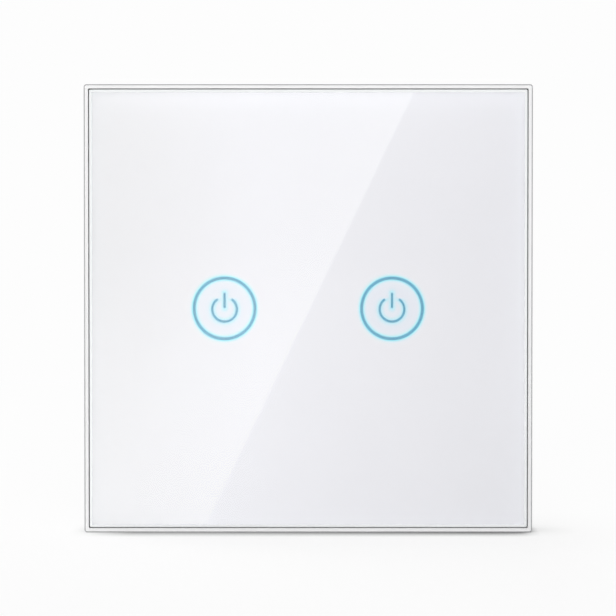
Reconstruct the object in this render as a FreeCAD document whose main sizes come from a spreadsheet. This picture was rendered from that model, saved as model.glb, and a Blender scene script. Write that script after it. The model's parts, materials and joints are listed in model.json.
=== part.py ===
import FreeCAD, Part
import math
import os
import Sketcher

from FreeCAD import Placement, Rotation, Vector

# A two-key touch switch for a wall box: a glass front that pulls off, and a power half behind it.
# Millimetres. X runs right, Y back into the wall and Z up. The origin is the middle of the switch
# on the face of the wall, so the glass lies in front of it at negative Y.

# Every driving size, by the piece that it belongs to.
sizes = {
    # panel
    "panel_width": 86.0,
    "panel_height": 86.0,
    "corner_radius": 0.9,
    # glass and what is bonded to its back
    "glass_thick": 3.0,
    "glass_corner": 0.5,
    "glass_chamfer": 0.5,
    "glass_gap": 0.2,
    "film_thick": 0.15,
    "film_margin": 0.3,
    "tape_thick": 0.4,
    "tape_margin": 1.5,
    # bezel
    "rim_thick": 0.8,
    "rim_set_back": 0.15,
    "plate_thick": 1.2,
    "skirt_wall": 1.6,
    "wall_gap": 0.3,
    "notch_width": 10.0,
    "notch_reach": 2.0,
    # the two glowing keys
    "key_spacing": 32.2,
    "ring_diameter": 12.2,
    "ring_stroke": 0.5,
    "symbol_radius": 2.37,
    "symbol_stroke": 0.44,
    "symbol_drop": 0.17,
    "symbol_gap": 70.0,
    "bar_top": 2.98,
    "bar_foot": 0.1,
    "icon_clearance": 0.02,
    # cup, guide and sensing spring behind each key
    "cup_diameter": 15.6,
    "cup_wall": 0.8,
    "guide_thick": 0.8,
    "guide_clearance": 0.1,
    "spring_diameter": 17.2,
    "spring_wire": 0.6,
    "spring_turns": 2.0,
    "spring_clearance": 0.5,
    "spring_rest": 0.05,
    # touch board
    "board_gap": 1.6,
    "board_thick": 1.0,
    "board_width": 52.0,
    "board_height": 68.0,
    "board_screw_across": 46.0,
    "board_screw_up": 62.0,
    "board_post": 4.0,
    "board_screw_shank": 1.9,
    "board_screw_length": 3.2,
    "board_screw_head": 3.6,
    "board_head_height": 0.9,
    "hole_clearance": 0.15,
    "thread_clearance": 0.05,
    "head_gap": 0.45,
    "led_spread": 9.6,
    "led_length": 1.6,
    "led_width": 0.8,
    "led_height": 0.6,
    "touch_chip_side": 5.0,
    "touch_chip_height": 0.9,
    "touch_chip_up": 8.0,
    # pins and socket between the two halves
    "pin_count": 6.0,
    "pin_pitch": 2.54,
    "pin_side": 0.64,
    "pin_clearance": 0.02,
    "pin_row_up": -10.5,
    "pin_stub": 0.6,
    "pin_tip_gap": 1.15,
    "header_height": 2.0,
    "header_breadth": 2.5,
    "header_gap": 1.15,
    "socket_breadth": 3.2,
    "socket_clearance": 0.13,
    # base frame and its cover
    "frame_clearance": 0.3,
    "frame_wall": 1.2,
    "frame_gap": 1.75,
    "floor_thick": 1.8,
    "opening_ledge": 0.8,
    "cover_lap": 3.0,
    "cover_thick": 0.8,
    "cover_clearance": 0.2,
    "slot_spacing": 60.3,
    "slot_width": 4.5,
    "slot_length": 6.5,
    "peg_spacing": 74.0,
    "peg_diameter": 3.6,
    "peg_clearance": 0.05,
    "peg_tip_gap": 0.6,
    "peg_boss_wall": 1.3,
    "peg_boss_gap": 0.75,
    "seat_recess": 0.3,
    "seat_clearance": 0.2,
    "post_inset": 2.9,
    "post_diameter": 5.6,
    "post_length": 9.0,
    # housing behind the wall
    "housing_width": 52.0,
    "housing_height": 52.0,
    "housing_wall": 1.5,
    "housing_back": 1.8,
    "back_gap": 1.3,
    "column_diameter": 6.4,
    "screw_seat": 2.0,
    "screw_shank": 2.5,
    "screw_reach": 6.0,
    "screw_head": 4.2,
    "screw_head_height": 1.6,
    "head_clearance": 0.2,
    "vent_count": 5.0,
    "vent_pitch": 5.0,
    "vent_width": 2.0,
    "vent_length": 14.0,
    "vent_up": 10.0,
    "driver_hole": 3.8,
    "wire_hole": 3.4,
    # power board
    "power_gap": 1.5,
    "power_thick": 1.6,
    "power_stand_off": 5.5,
    "notch_clearance": 0.4,
    "rest_width": 2.0,
    "rest_height": 10.0,
    "rest_inset": 0.5,
    "rib_height": 6.0,
    "rib_overlap": 1.0,
    # wireless module
    "radio_width": 18.0,
    "radio_height": 24.0,
    "radio_thick": 0.8,
    "radio_up": 5.0,
    "shield_width": 14.0,
    "shield_height": 16.0,
    "shield_thick": 2.4,
    "shield_up": 2.5,
    # wire clamps
    "terminal_pitch": 7.5,
    "block_low": -24.3,
    "block_reach": 11.0,
    "block_floor": 1.3,
    "clamp_up": -18.8,
    "cage_clearance": 0.2,
    "cage_width": 5.6,
    "cage_reach": 5.0,
    "cage_wall": 0.8,
    "cage_top": 1.2,
    "cage_headroom": 2.5,
    "cage_travel": 2.0,
    "cage_stop": 0.3,
    "wire_way": 3.3,
    "contact_width": 3.6,
    "contact_thick": 0.8,
    "contact_leg_gap": 1.3,
    "contact_pin": 2.0,
    "contact_tail": 0.5,
    "contact_clearance": 0.1,
    "clamp_shank": 3.0,
    "clamp_head": 4.6,
    "clamp_head_height": 1.6,
    "clamp_head_recess": 0.4,
    "clamp_tip_gap": 0.1,
    "clamp_ledge": 0.8,
    "clamp_seat": 0.1,
    "driver_slot_width": 0.7,
    "driver_slot_depth": 0.8,
    # relays
    "relay_gap": 1.6,
    "relay_up": -7.4,
    "relay_length": 18.4,
    "relay_breadth": 10.2,
    "relay_height": 15.3,
    "relay_wall": 0.7,
    "relay_fit": 0.1,
    "relay_base": 1.5,
    "yoke_thick": 1.2,
    "yoke_foot": 1.0,
    "yoke_breadth": 6.0,
    "yoke_at": 0.7,
    "coil_at": -3.6,
    "coil_clearance": 0.1,
    "coil_length": 8.2,
    "coil_diameter": 7.0,
    "flange_diameter": 8.0,
    "flange_thick": 0.7,
    "core_diameter": 3.0,
    "pole_diameter": 4.8,
    "pole_thick": 0.6,
    "air_gap": 0.45,
    "armature_thick": 1.0,
    "armature_breadth": 6.0,
    "armature_end": -7.0,
    "leaf_gap": 0.4,
    "leaf_thick": 0.3,
    "leaf_breadth": 4.0,
    "leaf_foot": 4.5,
    "contact_up": 6.0,
    "contact_button": 1.5,
    "contact_button_thick": 0.5,
    "contact_gap": 0.36,
    "blade_thick": 0.6,
    "blade_top": 8.0,
    # parts of the mains supply
    "transformer_at": -9.5,
    "transformer_up": 9.5,
    "core_width": 16.0,
    "core_height": 14.0,
    "core_thick": 5.0,
    "core_limb": 4.0,
    "core_side": 2.0,
    "core_yoke": 2.5,
    "winding_breadth": 12.0,
    "winding_clearance": 0.2,
    "bulk_diameter": 8.0,
    "bulk_height": 12.0,
    "bulk_first": 5.0,
    "bulk_pitch": 8.5,
    "bulk_up": 18.5,
    "output_diameter": 6.3,
    "output_height": 8.0,
    "output_at": 4.0,
    "output_up": 10.5,
    "film_cap_width": 13.0,
    "film_cap_breadth": 5.0,
    "film_cap_height": 11.0,
    "film_cap_at": 14.5,
    "film_cap_up": 10.5,
    "varistor_diameter": 7.0,
    "varistor_thick": 3.2,
    "varistor_at": 15.5,
    "varistor_up": 4.2,
    "fuse_diameter": 3.0,
    "fuse_length": 8.0,
    "fuse_at": 5.0,
    "fuse_up": 3.6,
    "choke_diameter": 6.0,
    "choke_waist": 4.4,
    "choke_height": 7.0,
    "choke_flange": 1.0,
    "choke_at": -5.0,
    "choke_up": 19.3,
    "rectifier_width": 6.4,
    "rectifier_breadth": 5.0,
    "rectifier_height": 3.0,
    "rectifier_at": -13.0,
    "rectifier_up": 19.5,
    "supply_chip_width": 5.0,
    "supply_chip_height": 4.0,
    "supply_chip_thick": 1.5,
    "supply_chip_at": 13.5,
    "supply_chip_up": 5.0,
}

terminal_names = ["line", "neutral", "load_one", "load_two"]

doc = FreeCAD.newDocument("touch_switch")
sheet = doc.addObject("Spreadsheet::Sheet", "size")
for row, (alias, length) in enumerate(sizes.items(), start=1):
    sheet.set(f"A{row}", str(length))
    sheet.setAlias(f"A{row}", alias)
doc.recompute()

# Planes across the depth, from the wall forward to the glass, as expressions on the sheet.
floor_front = "(-size.floor_thick)"
screw_top = f"({floor_front} - size.head_gap)"
board_back = f"({screw_top} - size.board_head_height)"
board_front = f"({board_back} - size.board_thick)"
plate_back = f"({board_front} - size.board_gap)"
tape_back = f"({plate_back} - size.plate_thick)"
film_back = f"({tape_back} - size.tape_thick)"
glass_back = f"({film_back} - size.film_thick)"
glass_front = f"({glass_back} - size.glass_thick)"
rim_front = f"({glass_front} + size.rim_set_back)"
header_back = f"({board_back} + size.header_height)"
seat = "(-size.seat_recess)"

# Planes behind the wall, from the power board to the back of the housing.
power_front = "size.power_stand_off"
power_back = f"({power_front} + size.power_thick)"
chamber_front = f"({power_back} + size.block_floor)"
cage_front = f"({chamber_front} + size.cage_clearance)"
contact_front = f"({cage_front} + size.cage_wall + size.wire_way)"
contact_back = f"({contact_front} + size.contact_thick)"
cage_roof = f"({contact_back} + size.cage_headroom)"
cage_back = f"({cage_roof} + size.cage_top)"
chamber_back = f"({cage_back} + size.cage_travel + size.cage_stop)"
clamp_head_front = f"({chamber_back} + size.clamp_ledge + size.clamp_seat)"
clamp_head_back = f"({clamp_head_front} + size.clamp_head_height)"
block_back = f"({clamp_head_back} + size.clamp_head_recess)"
relay_back = f"({power_back} + size.relay_height)"
inner_back = f"(max({block_back}; {relay_back}) + size.back_gap)"
housing_end = f"({inner_back} + size.housing_back)"

# Outlines of the front, which follow one another inwards from the edge of the panel.
glass_width = "(size.panel_width - 2 * (size.rim_thick + size.glass_gap))"
glass_height = "(size.panel_height - 2 * (size.rim_thick + size.glass_gap))"
skirt_inner_width = "(size.panel_width - 2 * size.skirt_wall)"
skirt_inner_height = "(size.panel_height - 2 * size.skirt_wall)"
spring_hole = "(size.spring_diameter + size.spring_wire + 2 * size.spring_clearance)"

# Outlines behind the wall, which follow the housing: posts in its corners, the opening between them.
housing_inner_width = "(size.housing_width - 2 * size.housing_wall)"
housing_inner_height = "(size.housing_height - 2 * size.housing_wall)"
post_spacing_across = f"({housing_inner_width} - 2 * size.post_inset)"
post_spacing_up = f"({housing_inner_height} - 2 * size.post_inset)"
opening_width = f"({post_spacing_across} - size.post_diameter - 2 * size.opening_ledge)"
opening_height = f"({post_spacing_up} - size.post_diameter - 2 * size.opening_ledge)"
cover_width = f"({opening_width} + 2 * size.cover_lap)"
cover_height = f"({opening_height} + 2 * size.cover_lap)"
power_width = f"({housing_inner_width} - 2 * size.power_gap)"
power_height = f"({housing_inner_height} - 2 * size.power_gap)"
key_places = {"left": "(-size.key_spacing / 2)", "right": "(size.key_spacing / 2)"}

pieces = []


def number(expression):
    """The present value of an expression."""
    return float(sheet.evalExpression(expression))


def keep(piece, label):
    """Name a finished piece and put it on the list that is written out."""
    piece.Label = label
    pieces.append(piece)
    return piece


# Sketches and the features of a body.

# Each view's origin plane, and the sign of the depth that its offset takes.
VIEWS = {"front": ("XZ_Plane", "-"), "top": ("XY_Plane", ""), "side": ("YZ_Plane", "")}


def new_body(label):
    return keep(doc.addObject("PartDesign::Body", label), label)


def new_sketch(body, view, depth):
    """A sketch whose features grow forwards, up or to the right from the given depth."""
    role, sign = VIEWS[view]
    plane = next(feature for feature in body.Origin.OriginFeatures if feature.Role == role)
    sketch = body.newObject("Sketcher::SketchObject", "outline")
    sketch.AttachmentSupport = (plane, [""])
    sketch.MapMode = "FlatFace"
    sketch.setExpression("AttachmentOffset.Base.z", f"{sign}({depth})")
    return sketch


def constrain(sketch, kind, *places, to):
    """A dimension of a sketch that is bound to an expression."""
    count = sketch.addConstraint(Sketcher.Constraint(kind, *places, number(to)))
    sketch.renameConstraint(count, f"bound_{count}")
    sketch.setExpression(f"Constraints.bound_{count}", to)


def hold(sketch, curve, end, across, up):
    """Hold one point of a curve at a place in the sketch."""
    constrain(sketch, "DistanceX", -1, 1, curve, end, to=across)
    constrain(sketch, "DistanceY", -1, 1, curve, end, to=up)


def polygon(sketch, points):
    """A closed outline of straight lines through points that are pairs of expressions."""
    places = [Vector(number(across), number(up), 0) for across, up in points]
    following = places[1:] + places[:1]
    lines = [sketch.addGeometry(Part.LineSegment(*ends), False) for ends in zip(places, following)]
    for index, line in enumerate(lines):
        following_line = lines[(index + 1) % len(lines)]
        sketch.addConstraint(Sketcher.Constraint("Coincident", line, 2, following_line, 1))
        hold(sketch, line, 1, *points[index])


def rectangle(sketch, left, right, low, high):
    polygon(sketch, [(left, low), (right, low), (right, high), (left, high)])


def centred(sketch, width, height, across="0", up="0"):
    """A rectangle about its middle."""
    left = f"({across}) - ({width}) / 2"
    low = f"({up}) - ({height}) / 2"
    rectangle(sketch, left, f"({left}) + {width}", low, f"({low}) + {height}")


def rounded(sketch, width, height, radius):
    """A rectangle about the middle of the sketch, with rounded corners."""
    half_width = number(width) / 2
    half_height = number(height) / 2
    bend = number(radius)
    sides = []
    corners = []
    straight_x = half_width - bend
    straight_y = half_height - bend
    ends = [
        ((-straight_x, -half_height), (straight_x, -half_height)),
        ((half_width, -straight_y), (half_width, straight_y)),
        ((straight_x, half_height), (-straight_x, half_height)),
        ((-half_width, straight_y), (-half_width, -straight_y)),
    ]
    centres = [(straight_x, -straight_y), (straight_x, straight_y)]
    centres += [(-straight_x, straight_y), (-straight_x, -straight_y)]
    quarter = math.pi / 2
    for index in range(4):
        start, end = ends[index]
        line = Part.LineSegment(Vector(*start, 0), Vector(*end, 0))
        sides.append(sketch.addGeometry(line, False))
        circle = Part.Circle(Vector(*centres[index], 0), Vector(0, 0, 1), bend)
        arc = Part.ArcOfCircle(circle, (index - 1) * quarter, index * quarter)
        corners.append(sketch.addGeometry(arc, False))
    for index in range(4):
        following = sides[(index + 1) % 4]
        sketch.addConstraint(Sketcher.Constraint("Tangent", sides[index], 2, corners[index], 1))
        sketch.addConstraint(Sketcher.Constraint("Tangent", corners[index], 2, following, 1))
        level = "Horizontal" if index % 2 == 0 else "Vertical"
        sketch.addConstraint(Sketcher.Constraint(level, sides[index]))
    for corner in corners[1:]:
        sketch.addConstraint(Sketcher.Constraint("Equal", corners[0], corner))
    constrain(sketch, "Radius", corners[0], to=radius)
    constrain(sketch, "DistanceY", -1, 1, sides[0], 1, to=f"-({height}) / 2")
    constrain(sketch, "DistanceX", -1, 1, sides[1], 1, to=f"({width}) / 2")
    constrain(sketch, "DistanceY", -1, 1, sides[2], 1, to=f"({height}) / 2")
    constrain(sketch, "DistanceX", -1, 1, sides[3], 1, to=f"-({width}) / 2")


def circle(sketch, diameter, across="0", up="0"):
    centre = Vector(number(across), number(up), 0)
    curve = sketch.addGeometry(Part.Circle(centre, Vector(0, 0, 1), number(diameter) / 2), False)
    constrain(sketch, "Diameter", curve, to=diameter)
    hold(sketch, curve, 3, across, up)


def slot(sketch, length, width, across, up="0"):
    """A hole with round ends, long along the sketch's first axis."""
    left = f"{across} - ({length} - {width}) / 2"
    right = f"{across} + ({length} - {width}) / 2"
    middle = number(up)
    bend = number(width) / 2
    quarter = math.pi / 2
    first = Vector(number(left), middle, 0)
    last = Vector(number(right), middle, 0)
    rise = Vector(0, bend, 0)
    top = sketch.addGeometry(Part.LineSegment(first + rise, last + rise), False)
    low = sketch.addGeometry(Part.LineSegment(first - rise, last - rise), False)
    axis = Vector(0, 0, 1)
    right_end = Part.ArcOfCircle(Part.Circle(last, axis, bend), -quarter, quarter)
    left_end = Part.ArcOfCircle(Part.Circle(first, axis, bend), quarter, 3 * quarter)
    right_arc = sketch.addGeometry(right_end, False)
    left_arc = sketch.addGeometry(left_end, False)
    joints = [(top, 2, right_arc, 2), (low, 2, right_arc, 1), (low, 1, left_arc, 2), (top, 1, left_arc, 1)]
    for joint in joints:
        sketch.addConstraint(Sketcher.Constraint("Tangent", *joint))
    sketch.addConstraint(Sketcher.Constraint("Equal", right_arc, left_arc))
    constrain(sketch, "Radius", right_arc, to=f"{width} / 2")
    hold(sketch, right_arc, 3, right, up)
    hold(sketch, left_arc, 3, left, up)


def pad(body, sketch, length):
    feature = body.newObject("PartDesign::Pad", "pad")
    feature.Profile = sketch
    feature.setExpression("Length", length)
    return feature


def pocket(body, sketch, length):
    """A cut that runs the same way as a pad from the same sketch."""
    feature = body.newObject("PartDesign::Pocket", "pocket")
    feature.Profile = sketch
    feature.Reversed = True
    feature.setExpression("Length", length)
    return feature


# Primitives and booleans.


def block(left, right, front, back, low, high):
    """A box between six planes."""
    box = doc.addObject("Part::Box", "block")
    box.setExpression("Length", f"({right}) - ({left})")
    box.setExpression("Width", f"({back}) - ({front})")
    box.setExpression("Height", f"({high}) - ({low})")
    box.setExpression("Placement.Base.x", left)
    box.setExpression("Placement.Base.y", front)
    box.setExpression("Placement.Base.z", low)
    return box


def block_about(across, up, width, height, front, back):
    """A box about a point of the front view, between two depths."""
    left = f"{across} - {width} / 2"
    low = f"{up} - {height} / 2"
    return block(left, f"{left} + {width}", front, back, low, f"{low} + {height}")


def rod(across, up, diameter, front, back):
    """A cylinder that lies along the depth."""
    cylinder = doc.addObject("Part::Cylinder", "rod")
    cylinder.Placement = Placement(Vector(), Rotation(Vector(1, 0, 0), -90))
    cylinder.setExpression("Radius", f"({diameter}) / 2")
    cylinder.setExpression("Height", f"({back}) - ({front})")
    cylinder.setExpression("Placement.Base.x", across)
    cylinder.setExpression("Placement.Base.y", front)
    cylinder.setExpression("Placement.Base.z", up)
    return cylinder


def rod_up(across, depth, diameter, low, high):
    """A cylinder that stands along Z."""
    cylinder = doc.addObject("Part::Cylinder", "rod")
    cylinder.setExpression("Radius", f"({diameter}) / 2")
    cylinder.setExpression("Height", f"({high}) - ({low})")
    cylinder.setExpression("Placement.Base.x", across)
    cylinder.setExpression("Placement.Base.y", depth)
    cylinder.setExpression("Placement.Base.z", low)
    return cylinder


def fuse(*shapes):
    union = doc.addObject("Part::MultiFuse", "union")
    union.Shapes = list(shapes)
    union.Refine = True
    return union


def group(*solids):
    """Separate solids that share one name."""
    compound = doc.addObject("Part::Compound", "group")
    compound.Links = list(solids)
    return compound


def cut(base, *tools):
    difference = doc.addObject("Part::Cut", "difference")
    difference.Base = base
    difference.Tool = tools[0] if len(tools) == 1 else fuse(*tools)
    difference.Refine = True
    return difference


# The front panel, from the glass backwards.


def glass_panel():
    body = new_body("glass_panel")
    sketch = new_sketch(body, "front", glass_back)
    rounded(sketch, glass_width, glass_height, "size.glass_corner")
    glass = pad(body, sketch, "size.glass_thick")
    doc.recompute()
    front = number(glass_front)
    faces = glass.Shape.Faces
    face = next(index for index, one in enumerate(faces, 1) if abs(one.CenterOfMass.y - front) < 1e-6)
    chamfer = body.newObject("PartDesign::Chamfer", "chamfer")
    chamfer.Base = (glass, [f"Face{face}"])
    chamfer.setExpression("Size", "size.glass_chamfer")


def ring(across, clearance, front, back):
    """The ring round a key, grown by a clearance."""
    outer = rod(across, "0", f"size.ring_diameter + 2 * {clearance}", front, back)
    hole = rod(across, "0", f"size.ring_diameter - 2 * size.ring_stroke - 2 * {clearance}", front, back)
    return cut(outer, hole)


def symbol_arc(across, clearance, front, back):
    """The open arc of the standby symbol, grown by a clearance all round."""
    middle = "-size.symbol_drop"
    outer = rod(across, middle, f"2 * size.symbol_radius + size.symbol_stroke + 2 * {clearance}", front, back)
    hole = rod(across, middle, f"2 * size.symbol_radius - size.symbol_stroke - 2 * {clearance}", front, back)
    wedge = doc.addObject("Part::Cylinder", "wedge")
    wedge.setExpression("Radius", "2 * size.symbol_radius")
    wedge.setExpression("Height", f"({back}) - ({front})")
    # The growth narrows the gap by the angle that it takes at the middle of the stroke.
    narrowing = f"(2 * {clearance} / size.symbol_radius * 180 / pi)"
    wedge.setExpression("Angle", f"size.symbol_gap - {narrowing}")
    wedge.setExpression("Placement.Base.x", across)
    wedge.setExpression("Placement.Base.y", front)
    wedge.setExpression("Placement.Base.z", middle)
    turn = 90 + number(f"(size.symbol_gap - {narrowing}) / 2")
    tilt = Rotation(Vector(1, 0, 0), -90).multiply(Rotation(Vector(0, 0, 1), -turn))
    wedge.Placement = Placement(wedge.Placement.Base, tilt)
    return cut(outer, hole, wedge)


def symbol_bar(across, clearance, front, back):
    left = f"{across} - size.symbol_stroke / 2 - {clearance}"
    right = f"{across} + size.symbol_stroke / 2 + {clearance}"
    return block(left, right, front, back, f"size.bar_foot - {clearance}", f"size.bar_top + {clearance}")


def icons_and_film():
    sheet_body = block_about("0", "0", f"({glass_width} - 2 * size.film_margin)",
                             f"({glass_height} - 2 * size.film_margin)", glass_back, film_back)
    windows = []
    for side, across in key_places.items():
        icon = group(
            ring(across, "0", glass_back, film_back),
            symbol_arc(across, "0", glass_back, film_back),
            symbol_bar(across, "0", glass_back, film_back),
        )
        keep(icon, f"{side}_icon")
        windows.append(ring(across, "size.icon_clearance", glass_back, film_back))
        windows.append(symbol_arc(across, "size.icon_clearance", glass_back, film_back))
        windows.append(symbol_bar(across, "size.icon_clearance", glass_back, film_back))
    keep(cut(sheet_body, *windows), "printed_film")


def adhesive_tape():
    width = f"({glass_width} - 2 * size.tape_margin)"
    height = f"({glass_height} - 2 * size.tape_margin)"
    holes = [rod(across, "0", spring_hole, film_back, tape_back) for across in key_places.values()]
    keep(cut(block_about("0", "0", width, height, film_back, tape_back), *holes), "adhesive_tape")


def corner_places(across_spacing, up_spacing):
    """The four places of a square pattern about the middle."""
    return [(f"({x} * {across_spacing} / 2)", f"({z} * {up_spacing} / 2)") for x in (-1, 1) for z in (-1, 1)]


board_screws_at = corner_places("size.board_screw_across", "size.board_screw_up")
pegs_at = corner_places("size.peg_spacing", "size.peg_spacing")
posts_at = corner_places(post_spacing_across, post_spacing_up)


def front_bezel():
    """The rim round the glass, the plate that carries it, the skirt, the board's posts and four pegs."""
    body = new_body("front_bezel")
    skirt_end = "(-size.wall_gap)"
    sketch = new_sketch(body, "front", skirt_end)
    rounded(sketch, "size.panel_width", "size.panel_height", "size.corner_radius")
    pad(body, sketch, f"{skirt_end} - {rim_front}")

    # The well that the glass drops into, as deep as the glass, its print and the tape.
    sketch = new_sketch(body, "front", tape_back)
    rounded(sketch, "(size.panel_width - 2 * size.rim_thick)", "(size.panel_height - 2 * size.rim_thick)",
            "size.glass_corner")
    pocket(body, sketch, f"{tape_back} - {glass_front}")

    sketch = new_sketch(body, "front", skirt_end)
    centred(sketch, skirt_inner_width, skirt_inner_height)
    pocket(body, sketch, f"{skirt_end} - {plate_back}")

    sketch = new_sketch(body, "front", plate_back)
    for across in key_places.values():
        circle(sketch, spring_hole, across)
    pocket(body, sketch, f"{plate_back} - {tape_back}")

    # Posts for the board's screws. Their pilot holes stop short of the tape.
    sketch = new_sketch(body, "front", board_front)
    for across, up in board_screws_at:
        circle(sketch, "size.board_post", across, up)
    pad(body, sketch, f"{board_front} - {plate_back}")
    sketch = new_sketch(body, "front", board_front)
    for across, up in board_screws_at:
        circle(sketch, "size.board_screw_shank + 2 * size.thread_clearance", across, up)
    pocket(body, sketch, "size.board_screw_length - size.board_thick + 2 * size.thread_clearance")

    sketch = new_sketch(body, "front", "-size.peg_tip_gap")
    for across, up in pegs_at:
        circle(sketch, "size.peg_diameter", across, up)
    pad(body, sketch, f"-size.peg_tip_gap - {plate_back}")

    # A notch for a screwdriver's blade, in the lower edge of the skirt.
    sketch = new_sketch(body, "front", skirt_end)
    rectangle(sketch, "-size.notch_width / 2", "size.notch_width / 2",
              "-size.panel_height / 2 - size.skirt_wall", "-size.panel_height / 2 + size.skirt_wall")
    pocket(body, sketch, "size.notch_reach")


def light_cups():
    for side, across in key_places.items():
        wall = rod(across, "0", "size.cup_diameter", film_back, board_front)
        inside = rod(across, "0", "size.cup_diameter - 2 * size.cup_wall", film_back, board_front)
        keep(cut(wall, inside), f"{side}_light_cup")
        guide = "size.cup_diameter - 2 * size.cup_wall - 2 * size.guide_clearance"
        keep(rod(across, "0", guide, film_back, f"{film_back} + size.guide_thick"), f"{side}_light_guide")


def touch_springs():
    """A sensing coil round each cup, of half circles that tilt one way and then the other."""
    wire = number("size.spring_wire")
    radius = number("size.spring_diameter / 2")
    start = number(f"{film_back} + size.spring_rest + size.spring_wire / 2")
    end = number(f"{board_front} - size.spring_rest - size.spring_wire / 2")
    half_turns = round(2 * number("size.spring_turns"))
    rise = (end - start) / half_turns
    reach = math.hypot(radius, rise / 2)
    print(f"touch springs: {2 * rise - wire:.2f} mm between turns")
    for side, across in key_places.items():
        middle = number(across)
        arcs = []
        for index in range(half_turns):
            way = 1 if index % 2 == 0 else -1
            depth = start + index * rise
            first = Vector(middle + way * radius, depth, 0)
            top = Vector(middle, depth + rise / 2, way * reach)
            last = Vector(middle - way * radius, depth + rise, 0)
            arcs.append(Part.Arc(first, top, last).toShape())
        profile = Part.Wire([Part.makeCircle(wire / 2, Vector(middle + radius, start, 0), Vector(0, 0, 1))])
        spring = doc.addObject("Part::Feature", "spring")
        spring.Shape = Part.Wire(arcs).makePipeShell([profile], True, False)
        keep(spring, f"{side}_touch_spring")


def pin_places():
    """The places of the header's pins across the switch."""
    count = int(number("size.pin_count"))
    return [f"(({index} - (size.pin_count - 1) / 2) * size.pin_pitch)" for index in range(count)]


def touch_board():
    body = new_body("touch_board")
    sketch = new_sketch(body, "front", board_back)
    centred(sketch, "size.board_width", "size.board_height")
    pad(body, sketch, "size.board_thick")
    sketch = new_sketch(body, "front", board_back)
    for across, up in board_screws_at:
        circle(sketch, "size.board_screw_shank + 2 * size.hole_clearance", across, up)
    for across in pin_places():
        circle(sketch, "size.pin_side * sqrt(2) + size.pin_clearance * 2", across, "size.pin_row_up")
    pocket(body, sketch, "size.board_thick")


def indicator_leds():
    """Four lamps in each cup, on the diagonals."""
    lamps = []
    for across in key_places.values():
        for sign_x in (-1, 1):
            for sign_z in (-1, 1):
                x = f"({across} + {sign_x} * size.led_spread / 2 * sqrt(0.5))"
                z = f"({sign_z} * size.led_spread / 2 * sqrt(0.5))"
                front = f"{board_front} - size.led_height"
                lamps.append(block_about(x, z, "size.led_length", "size.led_width", front, board_front))
    keep(group(*lamps), "indicator_leds")


def touch_controller():
    chip = block_about("0", "size.touch_chip_up", "size.touch_chip_side", "size.touch_chip_side",
                       f"{board_front} - size.touch_chip_height", board_front)
    keep(chip, "touch_controller")


def board_screws():
    screws = []
    point = f"{board_back} - size.board_screw_length"
    for across, up in board_screws_at:
        shank = rod(across, up, "size.board_screw_shank", point, board_back)
        head = rod(across, up, "size.board_screw_head", board_back, screw_top)
        screws.append(fuse(shank, head))
    keep(group(*screws), "board_screws")


def header():
    """A row of square pins in an insulator, behind the touch board."""
    tip = f"({power_front} - size.pin_tip_gap)"
    pins = []
    holes = []
    hole_side = "(size.pin_side + 2 * size.pin_clearance)"
    for across in pin_places():
        front = f"{board_front} - size.pin_stub"
        pins.append(block_about(across, "size.pin_row_up", "size.pin_side", "size.pin_side", front, tip))
        holes.append(block_about(across, "size.pin_row_up", hole_side, hole_side, board_back, header_back))
    row = block_about("0", "size.pin_row_up", "(size.pin_count * size.pin_pitch)", "size.header_breadth",
                      board_back, header_back)
    keep(cut(row, *holes), "header_body")
    keep(group(*pins), "header_pins")


# The half that stays on the wall.


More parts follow.
